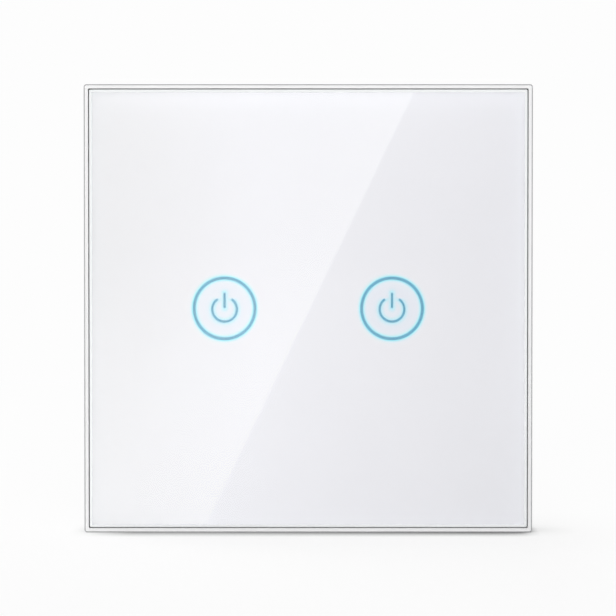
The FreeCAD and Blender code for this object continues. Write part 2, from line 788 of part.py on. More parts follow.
def base_frame():
    """The tray on the wall, with its slots, peg sockets, posts and rests."""
    body = new_body("base_frame")
    width = f"({skirt_inner_width} - 2 * size.frame_clearance)"
    height = f"({skirt_inner_height} - 2 * size.frame_clearance)"
    sketch = new_sketch(body, "front", "0")
    centred(sketch, width, height)
    pad(body, sketch, "size.floor_thick")
    sketch = new_sketch(body, "front", floor_front)
    centred(sketch, width, height)
    centred(sketch, f"({width} - 2 * size.frame_wall)", f"({height} - 2 * size.frame_wall)")
    pad(body, sketch, f"{floor_front} - ({plate_back} + size.frame_gap)")

    sketch = new_sketch(body, "front", floor_front)
    boss = "size.peg_diameter + 2 * size.peg_clearance + 2 * size.peg_boss_wall"
    for across, up in pegs_at:
        circle(sketch, boss, across, up)
    pad(body, sketch, f"{floor_front} - ({plate_back} + size.peg_boss_gap)")
    sketch = new_sketch(body, "front", "0")
    for across, up in pegs_at:
        circle(sketch, "size.peg_diameter + 2 * size.peg_clearance", across, up)
    pocket(body, sketch, f"-({plate_back})")

    sketch = new_sketch(body, "front", "0")
    slot(sketch, "size.slot_length", "size.slot_width", "-size.slot_spacing / 2")
    slot(sketch, "size.slot_length", "size.slot_width", "size.slot_spacing / 2")
    centred(sketch, opening_width, opening_height)
    pocket(body, sketch, "size.floor_thick")

    # The cover lies in a recess of the front, and the housing seats in one of the back.
    sketch = new_sketch(body, "front", f"{floor_front} + size.cover_thick")
    centred(sketch, f"({cover_width} + 2 * size.cover_clearance)",
            f"({cover_height} + 2 * size.cover_clearance)")
    pocket(body, sketch, "size.cover_thick")
    sketch = new_sketch(body, "front", "0")
    centred(sketch, "(size.housing_width + 2 * size.seat_clearance)",
            "(size.housing_height + 2 * size.seat_clearance)")
    pocket(body, sketch, "size.seat_recess")

    sketch = new_sketch(body, "front", "size.post_length")
    for across, up in posts_at:
        circle(sketch, "size.post_diameter", across, up)
    pad(body, sketch, f"size.post_length - {seat}")
    sketch = new_sketch(body, "front", "size.post_length")
    for across, up in posts_at:
        circle(sketch, "size.screw_shank + 2 * size.thread_clearance", across, up)
    pocket(body, sketch, "size.screw_reach + 2 * size.thread_clearance")

    # Two rests hold the power board off the frame.
    sketch = new_sketch(body, "front", power_front)
    outer = f"({power_width} / 2 - size.rest_inset)"
    inner = f"({outer} - size.rest_width)"
    rectangle(sketch, f"-{outer}", f"-{inner}", "-size.rest_height / 2", "size.rest_height / 2")
    rectangle(sketch, inner, outer, "-size.rest_height / 2", "size.rest_height / 2")
    pad(body, sketch, f"{power_front} - {seat}")


def inner_cover():
    body = new_body("inner_cover")
    back = f"({floor_front} + size.cover_thick)"
    sketch = new_sketch(body, "front", back)
    centred(sketch, cover_width, cover_height)
    pad(body, sketch, "size.cover_thick")
    sketch = new_sketch(body, "front", back)
    centred(sketch, "(size.pin_count * size.pin_pitch + 2 * size.pin_side)",
            "(size.header_breadth + 2 * size.pin_side)", "0", "size.pin_row_up")
    pocket(body, sketch, "size.cover_thick")


def terminal_places():
    """The places of the wire clamps across the switch, by the name of the wire."""
    middle = (len(terminal_names) - 1) / 2
    return {name: f"({index - middle} * size.terminal_pitch)" for index, name in enumerate(terminal_names)}


wire_middle = f"({contact_front} - size.wire_way / 2)"


def rear_housing():
    """The box that goes into the wall box, open at the front."""
    body = new_body("rear_housing")
    sketch = new_sketch(body, "front", housing_end)
    centred(sketch, "size.housing_width", "size.housing_height")
    pad(body, sketch, f"{housing_end} - {seat}")
    sketch = new_sketch(body, "front", inner_back)
    centred(sketch, housing_inner_width, housing_inner_height)
    pocket(body, sketch, f"{inner_back} - {seat}")

    # Columns for the screws stand on the frame's posts.
    sketch = new_sketch(body, "front", housing_end)
    for across, up in posts_at:
        circle(sketch, "size.column_diameter", across, up)
    pad(body, sketch, f"{housing_end} - size.post_length")
    sketch = new_sketch(body, "front", housing_end)
    for across, up in posts_at:
        circle(sketch, "size.screw_shank + 2 * size.hole_clearance", across, up)
    pocket(body, sketch, f"{housing_end} - size.post_length")
    sketch = new_sketch(body, "front", housing_end)
    for across, up in posts_at:
        circle(sketch, "size.screw_head + 2 * size.head_clearance", across, up)
    pocket(body, sketch, f"{housing_end} - size.post_length - size.screw_seat")

    # Two ribs press the power board onto its rests.
    sketch = new_sketch(body, "front", inner_back)
    outer = f"({housing_inner_width} / 2)"
    inner = f"({power_width} / 2 - size.rib_overlap)"
    rectangle(sketch, f"-{outer}", f"-{inner}", "-size.rib_height / 2", "size.rib_height / 2")
    rectangle(sketch, inner, outer, "-size.rib_height / 2", "size.rib_height / 2")
    pad(body, sketch, f"{inner_back} - {power_back}")

    # Vents and the screwdriver's holes go through the back, and the wires come up through the bottom.
    sketch = new_sketch(body, "front", housing_end)
    count = int(number("size.vent_count"))
    for index in range(count):
        across = f"(({index} - (size.vent_count - 1) / 2) * size.vent_pitch)"
        rectangle(sketch, f"{across} - size.vent_width / 2", f"{across} + size.vent_width / 2",
                  "size.vent_up - size.vent_length / 2", "size.vent_up + size.vent_length / 2")
    for across in terminal_places().values():
        circle(sketch, "size.driver_hole", across, "size.clamp_up")
    pocket(body, sketch, "size.housing_back")
    sketch = new_sketch(body, "top", "-size.housing_height / 2")
    for across in terminal_places().values():
        circle(sketch, "size.wire_hole", across, wire_middle)
    pocket(body, sketch, "size.housing_wall")


def housing_screws():
    screws = []
    for across, up in posts_at:
        under_head = "(size.post_length + size.screw_seat)"
        shank = rod(across, up, "size.screw_shank", "size.post_length - size.screw_reach", under_head)
        head = rod(across, up, "size.screw_head", under_head, f"{under_head} + size.screw_head_height")
        screws.append(fuse(shank, head))
    keep(group(*screws), "housing_screws")


pin_up = "(size.clamp_up + size.cage_reach / 2 + size.contact_leg_gap + size.contact_thick / 2)"


def power_board():
    """The mains board, with its corners cut away round the posts."""
    body = new_body("power_board")
    sketch = new_sketch(body, "front", power_back)
    x = f"({power_width} / 2)"
    z = f"({power_height} / 2)"
    x_notch = f"(({post_spacing_across} - size.post_diameter) / 2 - size.notch_clearance)"
    z_notch = f"(({post_spacing_up} - size.post_diameter) / 2 - size.notch_clearance)"
    polygon(sketch, [
        (f"-{x_notch}", f"-{z}"), (x_notch, f"-{z}"), (x_notch, f"-{z_notch}"),
        (x, f"-{z_notch}"), (x, z_notch), (x_notch, z_notch),
        (x_notch, z), (f"-{x_notch}", z), (f"-{x_notch}", z_notch),
        (f"-{x}", z_notch), (f"-{x}", f"-{z_notch}"), (f"-{x_notch}", f"-{z_notch}"),
    ])
    pad(body, sketch, "size.power_thick")
    sketch = new_sketch(body, "front", power_back)
    for across in terminal_places().values():
        centred(sketch, "(size.contact_pin + 2 * size.contact_clearance)",
                "(size.contact_thick + 2 * size.contact_clearance)", across, pin_up)
    pocket(body, sketch, "size.power_thick")


def header_socket():
    front = f"({header_back} + size.header_gap)"
    row = block_about("0", "size.pin_row_up", "(size.pin_count * size.pin_pitch)", "size.socket_breadth",
                      front, power_front)
    hole_side = "(size.pin_side + 2 * size.socket_clearance)"
    holes = []
    for across in pin_places():
        holes.append(block_about(across, "size.pin_row_up", hole_side, hole_side, front, power_front))
    keep(cut(row, *holes), "header_socket")


def radio_module():
    board = f"({power_front} - size.radio_thick)"
    keep(block_about("0", "size.radio_up", "size.radio_width", "size.radio_height", board, power_front),
         "radio_board")
    keep(block_about("0", "size.shield_up", "size.shield_width", "size.shield_height",
                     f"{board} - size.shield_thick", board), "radio_shield")


def terminal_block():
    """The block with a chamber, a contact's seat and a wire hole for each clamp."""
    block_high = "(size.block_low + size.block_reach)"
    half_width = f"({len(terminal_names)} * size.terminal_pitch / 2)"
    chamber_reach = "(size.cage_reach + 2 * size.cage_stop)"
    chamber_low = f"(size.clamp_up - {chamber_reach} / 2)"
    gap = "size.contact_clearance"
    contact_low = f"({chamber_low} - size.cage_stop)"
    pin_low = f"({pin_up} - size.contact_thick / 2)"
    pin_high = f"({pin_up} + size.contact_thick / 2)"
    hollows = []
    contacts = []
    for across in terminal_places().values():
        hollows.append(block_about(across, "size.clamp_up", "(size.cage_width + 2 * size.cage_clearance)",
                                   chamber_reach, chamber_front, chamber_back))
        half = "size.contact_width / 2"
        pin = "size.contact_pin / 2"
        bar = block(f"{across} - {half}", f"{across} + {half}", contact_front, contact_back,
                    contact_low, pin_high)
        leg = block(f"{across} - {pin}", f"{across} + {pin}", f"{power_front} - size.contact_tail",
                    contact_back, pin_low, pin_high)
        contacts.append(fuse(bar, leg))
        hollows.append(block(f"{across} - {half} - {gap}", f"{across} + {half} + {gap}",
                             f"{contact_front} - {gap}", f"{contact_back} + {gap}",
                             f"{contact_low} - {gap}", f"{pin_high} + {gap}"))
        hollows.append(block(f"{across} - {pin} - {gap}", f"{across} + {pin} + {gap}", power_back,
                             contact_front, f"{pin_low} - {gap}", f"{pin_high} + {gap}"))
        hollows.append(rod_up(across, wire_middle, "size.wire_way", "size.block_low", "size.clamp_up"))
        hollows.append(rod(across, "size.clamp_up", "size.clamp_shank + 2 * size.contact_clearance",
                           chamber_back, clamp_head_front))
        hollows.append(rod(across, "size.clamp_up", "size.clamp_head + 2 * size.contact_clearance",
                           f"{chamber_back} + size.clamp_ledge", block_back))
    body = block(f"-{half_width}", half_width, power_back, block_back, "size.block_low", block_high)
    keep(cut(body, *hollows), "terminal_body")
    keep(group(*contacts), "terminal_contacts")


def clamps():
    """Each wire's slotted screw, and the threaded cage that it lifts."""
    for name, across in terminal_places().items():
        tip = f"{contact_back} + size.clamp_tip_gap"
        shank = rod(across, "size.clamp_up", "size.clamp_shank", tip, clamp_head_front)
        head = rod(across, "size.clamp_up", "size.clamp_head", clamp_head_front, clamp_head_back)
        slot_cut = block_about(across, "size.clamp_up", "size.clamp_head", "size.driver_slot_width",
                               f"{clamp_head_back} - size.driver_slot_depth", clamp_head_back)
        keep(cut(fuse(shank, head), slot_cut), f"{name}_terminal_screw")

        cage = block_about(across, "size.clamp_up", "size.cage_width", "size.cage_reach",
                           cage_front, cage_back)
        inside = block_about(across, "size.clamp_up", "(size.cage_width - 2 * size.cage_wall)",
                             "size.cage_reach", f"{cage_front} + size.cage_wall", cage_roof)
        thread = rod(across, "size.clamp_up", "size.clamp_shank + 2 * size.thread_clearance",
                     cage_roof, cage_back)
        keep(cut(cage, inside, thread), f"{name}_clamp_cage")


# A relay's own planes: away from the board, from its base to the armature.
relay_floor = f"({power_back} + size.relay_base)"
foot_back = f"({relay_floor} + size.yoke_foot)"
coil_front = f"({foot_back} + size.coil_clearance)"
coil_back = f"({coil_front} + size.coil_length)"
pole_front = f"({coil_back} + size.coil_clearance)"
pole_back = f"({pole_front} + size.pole_thick)"
armature_front = f"({pole_back} + size.air_gap)"
armature_back = f"({armature_front} + size.armature_thick)"
yoke_right = "(size.yoke_at + size.yoke_thick)"
leaf_left = f"({yoke_right} + size.leaf_gap)"
leaf_right = f"({leaf_left} + size.leaf_thick)"
button_right = f"({leaf_right} + size.contact_button_thick)"
fixed_button_left = f"({button_right} + size.contact_gap)"
blade_left = f"({fixed_button_left} + size.contact_button_thick)"


def relay_block(middle, left, right, front, back, breadth):
    """A box of a relay, with its left and right measured from the relay's middle."""
    low = f"size.relay_up - {breadth} / 2"
    return block(f"{middle} + {left}", f"{middle} + {right}", front, back, low, f"{low} + {breadth}")


def rod_across(left, right, depth, up, diameter):
    """A cylinder that lies along X."""
    cylinder = doc.addObject("Part::Cylinder", "rod")
    cylinder.Placement = Placement(Vector(), Rotation(Vector(0, 1, 0), 90))
    cylinder.setExpression("Radius", f"({diameter}) / 2")
    cylinder.setExpression("Height", f"({right}) - ({left})")
    cylinder.setExpression("Placement.Base.x", left)
    cylinder.setExpression("Placement.Base.y", depth)
    cylinder.setExpression("Placement.Base.z", up)
    return cylinder


def relay(side, middle):
    half = "size.relay_length / 2"
    wall = "size.relay_wall"
    breadth = "size.relay_breadth"
    case = relay_block(middle, f"-{half}", half, power_back, relay_back, breadth)
    inside = relay_block(middle, f"(-{half} + {wall})", f"({half} - {wall})", power_back,
                         f"{relay_back} - {wall}", f"({breadth} - 2 * {wall})")
    keep(cut(case, inside), f"{side}_relay_case")

    inner = f"({half} - {wall} - size.relay_fit)"
    keep(relay_block(middle, f"-{inner}", inner, power_back, relay_floor,
                     f"({breadth} - 2 * {wall} - 2 * size.relay_fit)"), f"{side}_relay_base")

    # The yoke's foot runs under the coil, and its core comes up through it to the pole.
    coil_at = f"({middle} + size.coil_at)"
    foot = relay_block(middle, "(size.coil_at - size.core_diameter / 2)", yoke_right, relay_floor, foot_back,
                       "size.yoke_breadth")
    upright = relay_block(middle, "size.yoke_at", yoke_right, relay_floor, pole_back, "size.yoke_breadth")
    core = rod(coil_at, "size.relay_up", "size.core_diameter", relay_floor, pole_back)
    pole = rod(coil_at, "size.relay_up", "size.pole_diameter", pole_front, pole_back)
    keep(fuse(foot, upright, core, pole), f"{side}_relay_yoke")

    bore = rod(coil_at, "size.relay_up", "size.core_diameter + 2 * size.coil_clearance",
               coil_front, coil_back)
    wound = rod(coil_at, "size.relay_up", "size.coil_diameter", coil_front, coil_back)
    first = rod(coil_at, "size.relay_up", "size.flange_diameter",
                coil_front, f"{coil_front} + size.flange_thick")
    last = rod(coil_at, "size.relay_up", "size.flange_diameter",
               f"{coil_back} - size.flange_thick", coil_back)
    keep(cut(fuse(wound, first, last), bore), f"{side}_relay_coil")

    # The armature lies over the pole, and its spring leaf carries the moving contact down.
    plate = relay_block(middle, "size.armature_end", leaf_right, armature_front, armature_back,
                        "size.armature_breadth")
    leaf = relay_block(middle, leaf_left, leaf_right, f"{power_back} + size.leaf_foot", armature_back,
                       "size.leaf_breadth")
    contact_depth = f"({power_back} + size.contact_up)"
    button = rod_across(f"{middle} + {leaf_right}", f"{middle} + {button_right}", contact_depth,
                        "size.relay_up", "size.contact_button")
    keep(fuse(plate, leaf, button), f"{side}_relay_armature")

    blade = relay_block(middle, blade_left, f"({blade_left} + size.blade_thick)", relay_floor,
                        f"{power_back} + size.blade_top", "size.leaf_breadth")
    fixed = rod_across(f"{middle} + {fixed_button_left}", f"{middle} + {blade_left}", contact_depth,
                       "size.relay_up", "size.contact_button")
    keep(fuse(blade, fixed), f"{side}_relay_contact")


def transformer():
    x = "size.transformer_at"
    z = "size.transformer_up"
    back = f"({power_back} + size.core_height)"
    outside = block_about(x, z, "size.core_width", "size.core_thick", power_back, back)
    limb = "size.core_limb / 2"
    far = "(size.core_width / 2 - size.core_side)"
    window_front = f"{power_back} + size.core_yoke"
    window_back = f"{back} - size.core_yoke"
    low = f"{z} - size.core_thick / 2"
    high = f"{z} + size.core_thick / 2"
    windows = []
    for near_edge, far_edge in ((f"{x} - {far}", f"{x} - {limb}"), (f"{x} + {limb}", f"{x} + {far}")):
        windows.append(block(near_edge, far_edge, window_front, window_back, low, high))
    keep(cut(outside, *windows), "transformer_core")
    gap = "size.winding_clearance"
    front = f"({power_back} + size.core_yoke + {gap})"
    rear = f"({back} - size.core_yoke - {gap})"
    wound = block_about(x, z, f"(2 * {far} - 2 * {gap})", "size.winding_breadth", front, rear)
    bore = block_about(x, z, f"(size.core_limb + 2 * {gap})", f"(size.core_thick + 2 * {gap})", front, rear)
    keep(cut(wound, bore), "transformer_winding")


def capacitors():
    cans = []
    top = f"{power_back} + size.bulk_height"
    for index in range(2):
        x = f"(size.bulk_first + {index} * size.bulk_pitch)"
        cans.append(rod(x, "size.bulk_up", "size.bulk_diameter", power_back, top))
    keep(group(*cans), "bulk_capacitors")
    keep(rod("size.output_at", "size.output_up", "size.output_diameter", power_back,
             f"{power_back} + size.output_height"), "output_capacitor")
    keep(block_about("size.film_cap_at", "size.film_cap_up", "size.film_cap_width", "size.film_cap_breadth",
                     power_back, f"{power_back} + size.film_cap_height"), "film_capacitor")


def small_supply_parts():
    """The varistor, fuse, choke, rectifier and supply chip."""
    x = "size.varistor_at"
    low = "(size.varistor_up - size.varistor_thick / 2)"
    disc = rod_up(x, f"({power_back} + size.varistor_diameter / 2)", "size.varistor_diameter", low,
                  f"{low} + size.varistor_thick")
    keep(disc, "varistor")

    x = "size.fuse_at"
    z = "size.fuse_up"
    middle = f"({power_back} + size.fuse_diameter / 2)"
    left = f"({x} - size.fuse_length / 2)"
    keep(rod_across(left, f"{left} + size.fuse_length", middle, z, "size.fuse_diameter"), "fuse")

    x = "size.choke_at"
    z = "size.choke_up"
    back = f"({power_back} + size.choke_height)"
    waist = rod(x, z, "size.choke_waist", power_back, back)
    foot = rod(x, z, "size.choke_diameter", power_back, f"{power_back} + size.choke_flange")
    cap = rod(x, z, "size.choke_diameter", f"{back} - size.choke_flange", back)
    keep(fuse(waist, foot, cap), "line_choke")

    keep(block_about("size.rectifier_at", "size.rectifier_up", "size.rectifier_width",
                     "size.rectifier_breadth", power_back, f"{power_back} + size.rectifier_height"),
         "rectifier")
    keep(block_about("size.supply_chip_at", "size.supply_chip_up", "size.supply_chip_width",
                     "size.supply_chip_height", f"{power_front} - size.supply_chip_thick", power_front),
         "supply_chip")


glass_panel()
icons_and_film()
adhesive_tape()
front_bezel()
light_cups()
touch_springs()
touch_board()
indicator_leds()
touch_controller()
board_screws()
header()
base_frame()
inner_cover()
rear_housing()
housing_screws()
power_board()
header_socket()
radio_module()
terminal_block()
clamps()
relay("left", "(-(size.relay_length + size.relay_gap) / 2)")
relay("right", "((size.relay_length + size.relay_gap) / 2)")
transformer()
capacitors()
small_supply_parts()
doc.recompute()

failed = [one.Name for one in doc.Objects if "Invalid" in one.State or "Error" in one.State]
if failed:
    raise RuntimeError(f"these objects failed: {failed}")
for piece in pieces:
    if piece.Shape.isNull() or not piece.Shape.isValid():
        raise RuntimeError(f"{piece.Label} has no valid shape")

os.makedirs("parts", exist_ok=True)
for piece in pieces:
    piece.Shape.exportStep(f"parts/{piece.Label}.step")
    solids = len(piece.Shape.Solids)
    print(f"{piece.Label}: {solids} solid(s), {piece.Shape.Volume:.2f} mm3")
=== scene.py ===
# %% [markdown]
# # A glass touch switch
#
# This lesson dresses a CAD model of a two-key touch switch: a square glass front that pulls off, and a
# power half that sits in the wall box behind it. The CAD model is a fixed frame. Every part that is
# added here stands where the frame says, in metres, with X to the right, Y into the wall and Z up.

# %% Load the frame and measure it
import json
import math

import bmesh
import bpy
from mathutils import Matrix, Vector


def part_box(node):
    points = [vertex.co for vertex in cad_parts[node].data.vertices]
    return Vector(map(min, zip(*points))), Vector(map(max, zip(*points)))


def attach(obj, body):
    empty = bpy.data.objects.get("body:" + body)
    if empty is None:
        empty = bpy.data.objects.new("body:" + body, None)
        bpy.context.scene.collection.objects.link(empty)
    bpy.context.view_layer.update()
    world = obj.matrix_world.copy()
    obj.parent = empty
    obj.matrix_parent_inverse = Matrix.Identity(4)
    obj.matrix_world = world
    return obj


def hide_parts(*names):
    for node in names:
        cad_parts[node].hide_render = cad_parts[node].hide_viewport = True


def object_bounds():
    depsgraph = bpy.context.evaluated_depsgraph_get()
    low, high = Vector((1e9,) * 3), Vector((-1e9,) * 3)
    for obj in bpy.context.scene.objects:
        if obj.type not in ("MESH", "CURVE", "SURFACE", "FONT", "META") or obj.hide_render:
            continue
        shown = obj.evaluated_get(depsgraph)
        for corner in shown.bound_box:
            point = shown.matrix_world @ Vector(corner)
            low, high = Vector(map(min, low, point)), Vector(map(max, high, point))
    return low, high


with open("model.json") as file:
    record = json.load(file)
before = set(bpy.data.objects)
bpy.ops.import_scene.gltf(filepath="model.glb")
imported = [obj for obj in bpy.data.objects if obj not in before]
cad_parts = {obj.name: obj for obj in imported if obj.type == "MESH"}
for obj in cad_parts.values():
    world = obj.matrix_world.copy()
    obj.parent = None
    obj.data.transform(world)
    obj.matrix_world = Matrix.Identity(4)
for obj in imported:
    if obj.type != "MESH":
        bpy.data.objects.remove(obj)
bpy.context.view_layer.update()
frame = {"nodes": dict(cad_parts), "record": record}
nodes = frame["nodes"]
body_of = {}
for body, members in frame["record"]["behaviour"]["bodies"].items():
    for member in members:
        body_of[member] = body
slot_of = {row["node"]: row["material_slot"] for row in frame["record"]["subparts"]}
MM = 0.001

# %% [markdown]
# ## The camera
#
# The photograph looks straight at the glass from a little above: the vertical edges hardly lean and a
# thin line of the top shows. A long lens does that. A real switch of this kind is 86 mm wide, so one
# pixel of the 616 pixel picture is 0.192 mm on the glass, and the lens follows from the distance.

# %% Place the camera
PICTURE_SIDE = 616
PIXEL = MM / 5.215
DISTANCE = 0.65
RAISED = math.radians(1.75)
GLASS_AT_PIXEL = (308.3, 308.75)

glass_low, glass_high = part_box("glass_panel")
aim = Vector((
    (PICTURE_SIDE / 2 - GLASS_AT_PIXEL[0]) * PIXEL,
    glass_low.y,
    (GLASS_AT_PIXEL[1] - PICTURE_SIDE / 2) * PIXEL,
))
camera_data = bpy.data.cameras.new("front_view")
camera_data.sensor_width = 36
camera_data.lens = 36 * DISTANCE / (PICTURE_SIDE * PIXEL)
camera_data.clip_start = 0.01
camera = bpy.data.objects.new("front_view", camera_data)
bpy.context.scene.collection.objects.link(camera)
camera.location = aim + DISTANCE * Vector((0, -math.cos(RAISED), math.sin(RAISED)))
camera.rotation_euler = (math.pi / 2 - RAISED, 0, 0)
bpy.context.scene.camera = camera
print("camera: lens", round(camera_data.lens, 1), "mm,", DISTANCE, "m away")

# %% [markdown]
# ## A white studio
#
# The switch stands on a white sweep under soft light. The world is plain white where the camera, a
# reflection or clear glass looks at it, and dimmer where it only fills shadows. A wide soft lamp above,
# a little behind and to the left, leaves the soft shadow at the lower right. A second one in front
# evens out the glass, and a third one behind shows the shape of the back.

# %% Helpers for node trees
def seen_directly(tree, *kinds):
    """1 for the kinds of rays that are named, and 0 for the others."""
    path = tree.nodes.new("ShaderNodeLightPath")
    result = path.outputs[kinds[0]]
    for kind in kinds[1:]:
        result = calculate(tree, "MAXIMUM", result, path.outputs[kind])
    return result


def ranged(tree, value, low, high, start=0.3, end=0.7):
    """Turns start..end of a value into low..high."""
    mapped = tree.nodes.new("ShaderNodeMapRange")
    mapped.inputs["From Min"].default_value = start
    mapped.inputs["From Max"].default_value = end
    mapped.inputs["To Min"].default_value = low
    mapped.inputs["To Max"].default_value = high
    tree.links.new(value, mapped.inputs["Value"])
    return mapped.outputs["Result"]


def calculate(tree, operation, *values):
    """A Math node on sockets or numbers."""
    step = tree.nodes.new("ShaderNodeMath")
    step.operation = operation
    for index, value in enumerate(values):
        if isinstance(value, (int, float)):
            step.inputs[index].default_value = value
        else:
            tree.links.new(value, step.inputs[index])
    return step.outputs[0]


def times(tree, first, *others):
    """The product of sockets and numbers."""
    for other in others:
        first = calculate(tree, "MULTIPLY", first, other)
    return first


def split(tree, place):
    """The X, Y and Z of a vector socket."""
    parts = tree.nodes.new("ShaderNodeSeparateXYZ")
    tree.links.new(place, parts.inputs[0])
    return parts.outputs["X"], parts.outputs["Y"], parts.outputs["Z"]


def vector(tree, operation, first, second=None):
    """A Vector Math node on a socket, with three numbers as its second value where it takes one."""
    step = tree.nodes.new("ShaderNodeVectorMath")
    step.operation = operation
    tree.links.new(first, step.inputs[0])
    if isinstance(second, tuple):
        step.inputs[1].default_value = second
    return step.outputs["Value" if operation in ("LENGTH", "DOT_PRODUCT") else "Vector"]


def far_from(tree, first, second):
    """The distance from zero of a place with two coordinates."""
    squares = calculate(tree, "ADD", times(tree, first, first), times(tree, second, second))
    return calculate(tree, "SQRT", squares)


def mixed_color(tree, factor, first, second):
    """A colour between two, of which each is a socket or four numbers."""
    mix = tree.nodes.new("ShaderNodeMix")
    mix.data_type = "RGBA"
    tree.links.new(factor, mix.inputs["Factor"])
    for name, value in (("A", first), ("B", second)):
        if isinstance(value, tuple):
            mix.inputs[name].default_value = value
        else:
            tree.links.new(value, mix.inputs[name])
    return mix.outputs["Result"]


def mixed_shader(tree, factor, first, second):
    """A shader between two others."""
    mix = tree.nodes.new("ShaderNodeMixShader")
    tree.links.new(factor, mix.inputs[0])
    tree.links.new(first, mix.inputs[1])
    tree.links.new(second, mix.inputs[2])
    return mix.outputs[0]


# %% Fill the world with white
WHITE = 0.983
FILL = 0.50

world = bpy.data.worlds.new("studio")
world.use_nodes = True
bpy.context.scene.world = world
sky = world.node_tree
sky.nodes.clear()
fill = sky.nodes.new("ShaderNodeBackground")
fill.inputs["Color"].default_value = (1, 1, 1, 1)
fill.inputs["Strength"].default_value = FILL
bright = sky.nodes.new("ShaderNodeBackground")
bright.inputs["Color"].default_value = (1, 1, 1, 1)
bright.inputs["Strength"].default_value = WHITE
seen_white = seen_directly(sky, "Is Camera Ray", "Is Glossy Ray", "Is Transmission Ray")
sky_end = sky.nodes.new("ShaderNodeOutputWorld")
sky.links.new(mixed_shader(sky, seen_white, fill.outputs[0], bright.outputs[0]), sky_end.inputs["Surface"])
print("world: fill", FILL)

# %% Hang the soft lamps
def soft_lamp(name, place, side, power):
    """A square lamp that looks at the middle of the switch."""
    data = bpy.data.lights.new(name, "AREA")
    data.shape = "SQUARE"
    data.size = side
    data.energy = power
    lamp = bpy.data.objects.new(name, data)
    bpy.context.scene.collection.objects.link(lamp)
    lamp.location = place
    lamp.rotation_euler = (-Vector(place)).to_track_quat("-Z", "Y").to_euler()
    print("lamp:", name, side, "m,", power, "W")
    return lamp


soft_lamp("top_lamp", (-0.45, 0.20, 0.80), 0.55, 3.2)
front_lamp = soft_lamp("front_lamp", (-0.06, -1.25, 0.17), 0.6, 6.4)
front_lamp.visible_glossy = False
front_lamp.visible_transmission = False
soft_lamp("back_lamp", (-0.75, 0.85, 0.55), 0.6, 4.0)

# %% [markdown]
# Under the switch the floor is a lit surface, so the soft shadow falls on it, and farther out it fades
# into plain white. A darker line where the panel stands is painted shade in the floor's colour, as strong
# as each point is closed in. Each span below gives a value at two places along the width: the shadow and
# the painted line are weaker at the ends of the panel and stronger to the right, as in the photograph.

# %% Lay the floor
FLOOR_REACH = 2.5
PAPER = (0.88, 0.88, 0.88, 1)
SOFT_SHADOW = (0.17, 0.05, 0.040, 0.058)
CONTACT_REACH = 0.0095
DARKEST = 0.05
LEFT_END = (0, 1, -0.046, -0.034)
RIGHT_END = (1, 0.15, 0.0410, 0.0445)
TO_THE_RIGHT = (1.15, 1.75, -0.043, 0.043)
FADE_FROM = 0.10
FADE_TO = 0.55

floor_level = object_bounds()[0].z
floor_mesh = bpy.data.meshes.new("floor")
corners = [(-FLOOR_REACH, -FLOOR_REACH), (FLOOR_REACH, -FLOOR_REACH), (FLOOR_REACH, FLOOR_REACH),
           (-FLOOR_REACH, FLOOR_REACH)]
floor_mesh.from_pydata([(x, y, floor_level) for x, y in corners], [], [(0, 1, 2, 3)])
floor = bpy.data.objects.new("floor", floor_mesh)
bpy.context.scene.collection.objects.link(floor)
floor.visible_glossy = False

sweep = bpy.data.materials.new("white_sweep")
sweep.use_nodes = True
tree = sweep.node_tree
tree.nodes.clear()
paper = tree.nodes.new("ShaderNodeBsdfDiffuse")
paper.inputs["Color"].default_value = PAPER
shown = tree.nodes.new("ShaderNodeBsdfDiffuse")
far = tree.nodes.new("ShaderNodeEmission")
contact = tree.nodes.new("ShaderNodeAmbientOcclusion")
contact.inputs["Distance"].default_value = CONTACT_REACH
where = tree.nodes.new("ShaderNodeTexCoord").outputs["Object"]
across = split(tree, where)[0]
# Painted contact shade: one minus the ambient occlusion, shaped by the spans along the width, darkens the
# floor's colour and its glow.
painted_contact_shade = calculate(tree, "SUBTRACT", 1, contact.outputs["AO"])
for span in (LEFT_END, RIGHT_END, TO_THE_RIGHT):
    painted_contact_shade = times(tree, painted_contact_shade, ranged(tree, across, *span))
open_floor = ranged(tree, painted_contact_shade, 1, DARKEST, 0, 1 - DARKEST)
painted_floor_color = tree.nodes.new("ShaderNodeCombineColor")
painted_floor_level = times(tree, open_floor, WHITE)
for channel in ("Red", "Green", "Blue"):
    tree.links.new(painted_floor_level, painted_floor_color.inputs[channel])
tree.links.new(painted_floor_color.outputs[0], shown.inputs["Color"])
tree.links.new(painted_floor_level, far.inputs["Strength"])
fade = tree.nodes.new("ShaderNodeMapRange")
fade.interpolation_type = "SMOOTHSTEP"
fade.inputs["From Min"].default_value = FADE_FROM
fade.inputs["From Max"].default_value = FADE_TO
tree.links.new(vector(tree, "LENGTH", where), fade.inputs["Value"])
near = calculate(tree, "SUBTRACT", 1, fade.outputs["Result"])
evenly_lit = calculate(tree, "SUBTRACT", 1, times(tree, near, ranged(tree, across, *SOFT_SHADOW)))
direct = seen_directly(tree, "Is Camera Ray", "Is Glossy Ray", "Is Transmission Ray")
seen_floor = mixed_shader(tree, evenly_lit, shown.outputs[0], far.outputs[0])
floor_end = tree.nodes.new("ShaderNodeOutputMaterial")
tree.links.new(mixed_shader(tree, direct, paper.outputs[0], seen_floor), floor_end.inputs["Surface"])
floor_mesh.materials.append(sweep)
print("floor at", round(floor_level / MM, 2), "mm")

# %% [markdown]
# The glass shows a slanted edge: a bright studio panel mirrors in its left part and fades towards the
# far left. A card behind the camera that only reflections see gives the same. A point of the glass
# mirrors the card's plane at `SPREAD` times its own distance from the axis, so the two ends of the
# slanted edge are measured on the glass and scaled. Left of the edge the card fades towards the side.
# Right of the edge it fades with the distance from it. The white floor mirrors in the lower half, so
# the card gets brighter towards its foot.

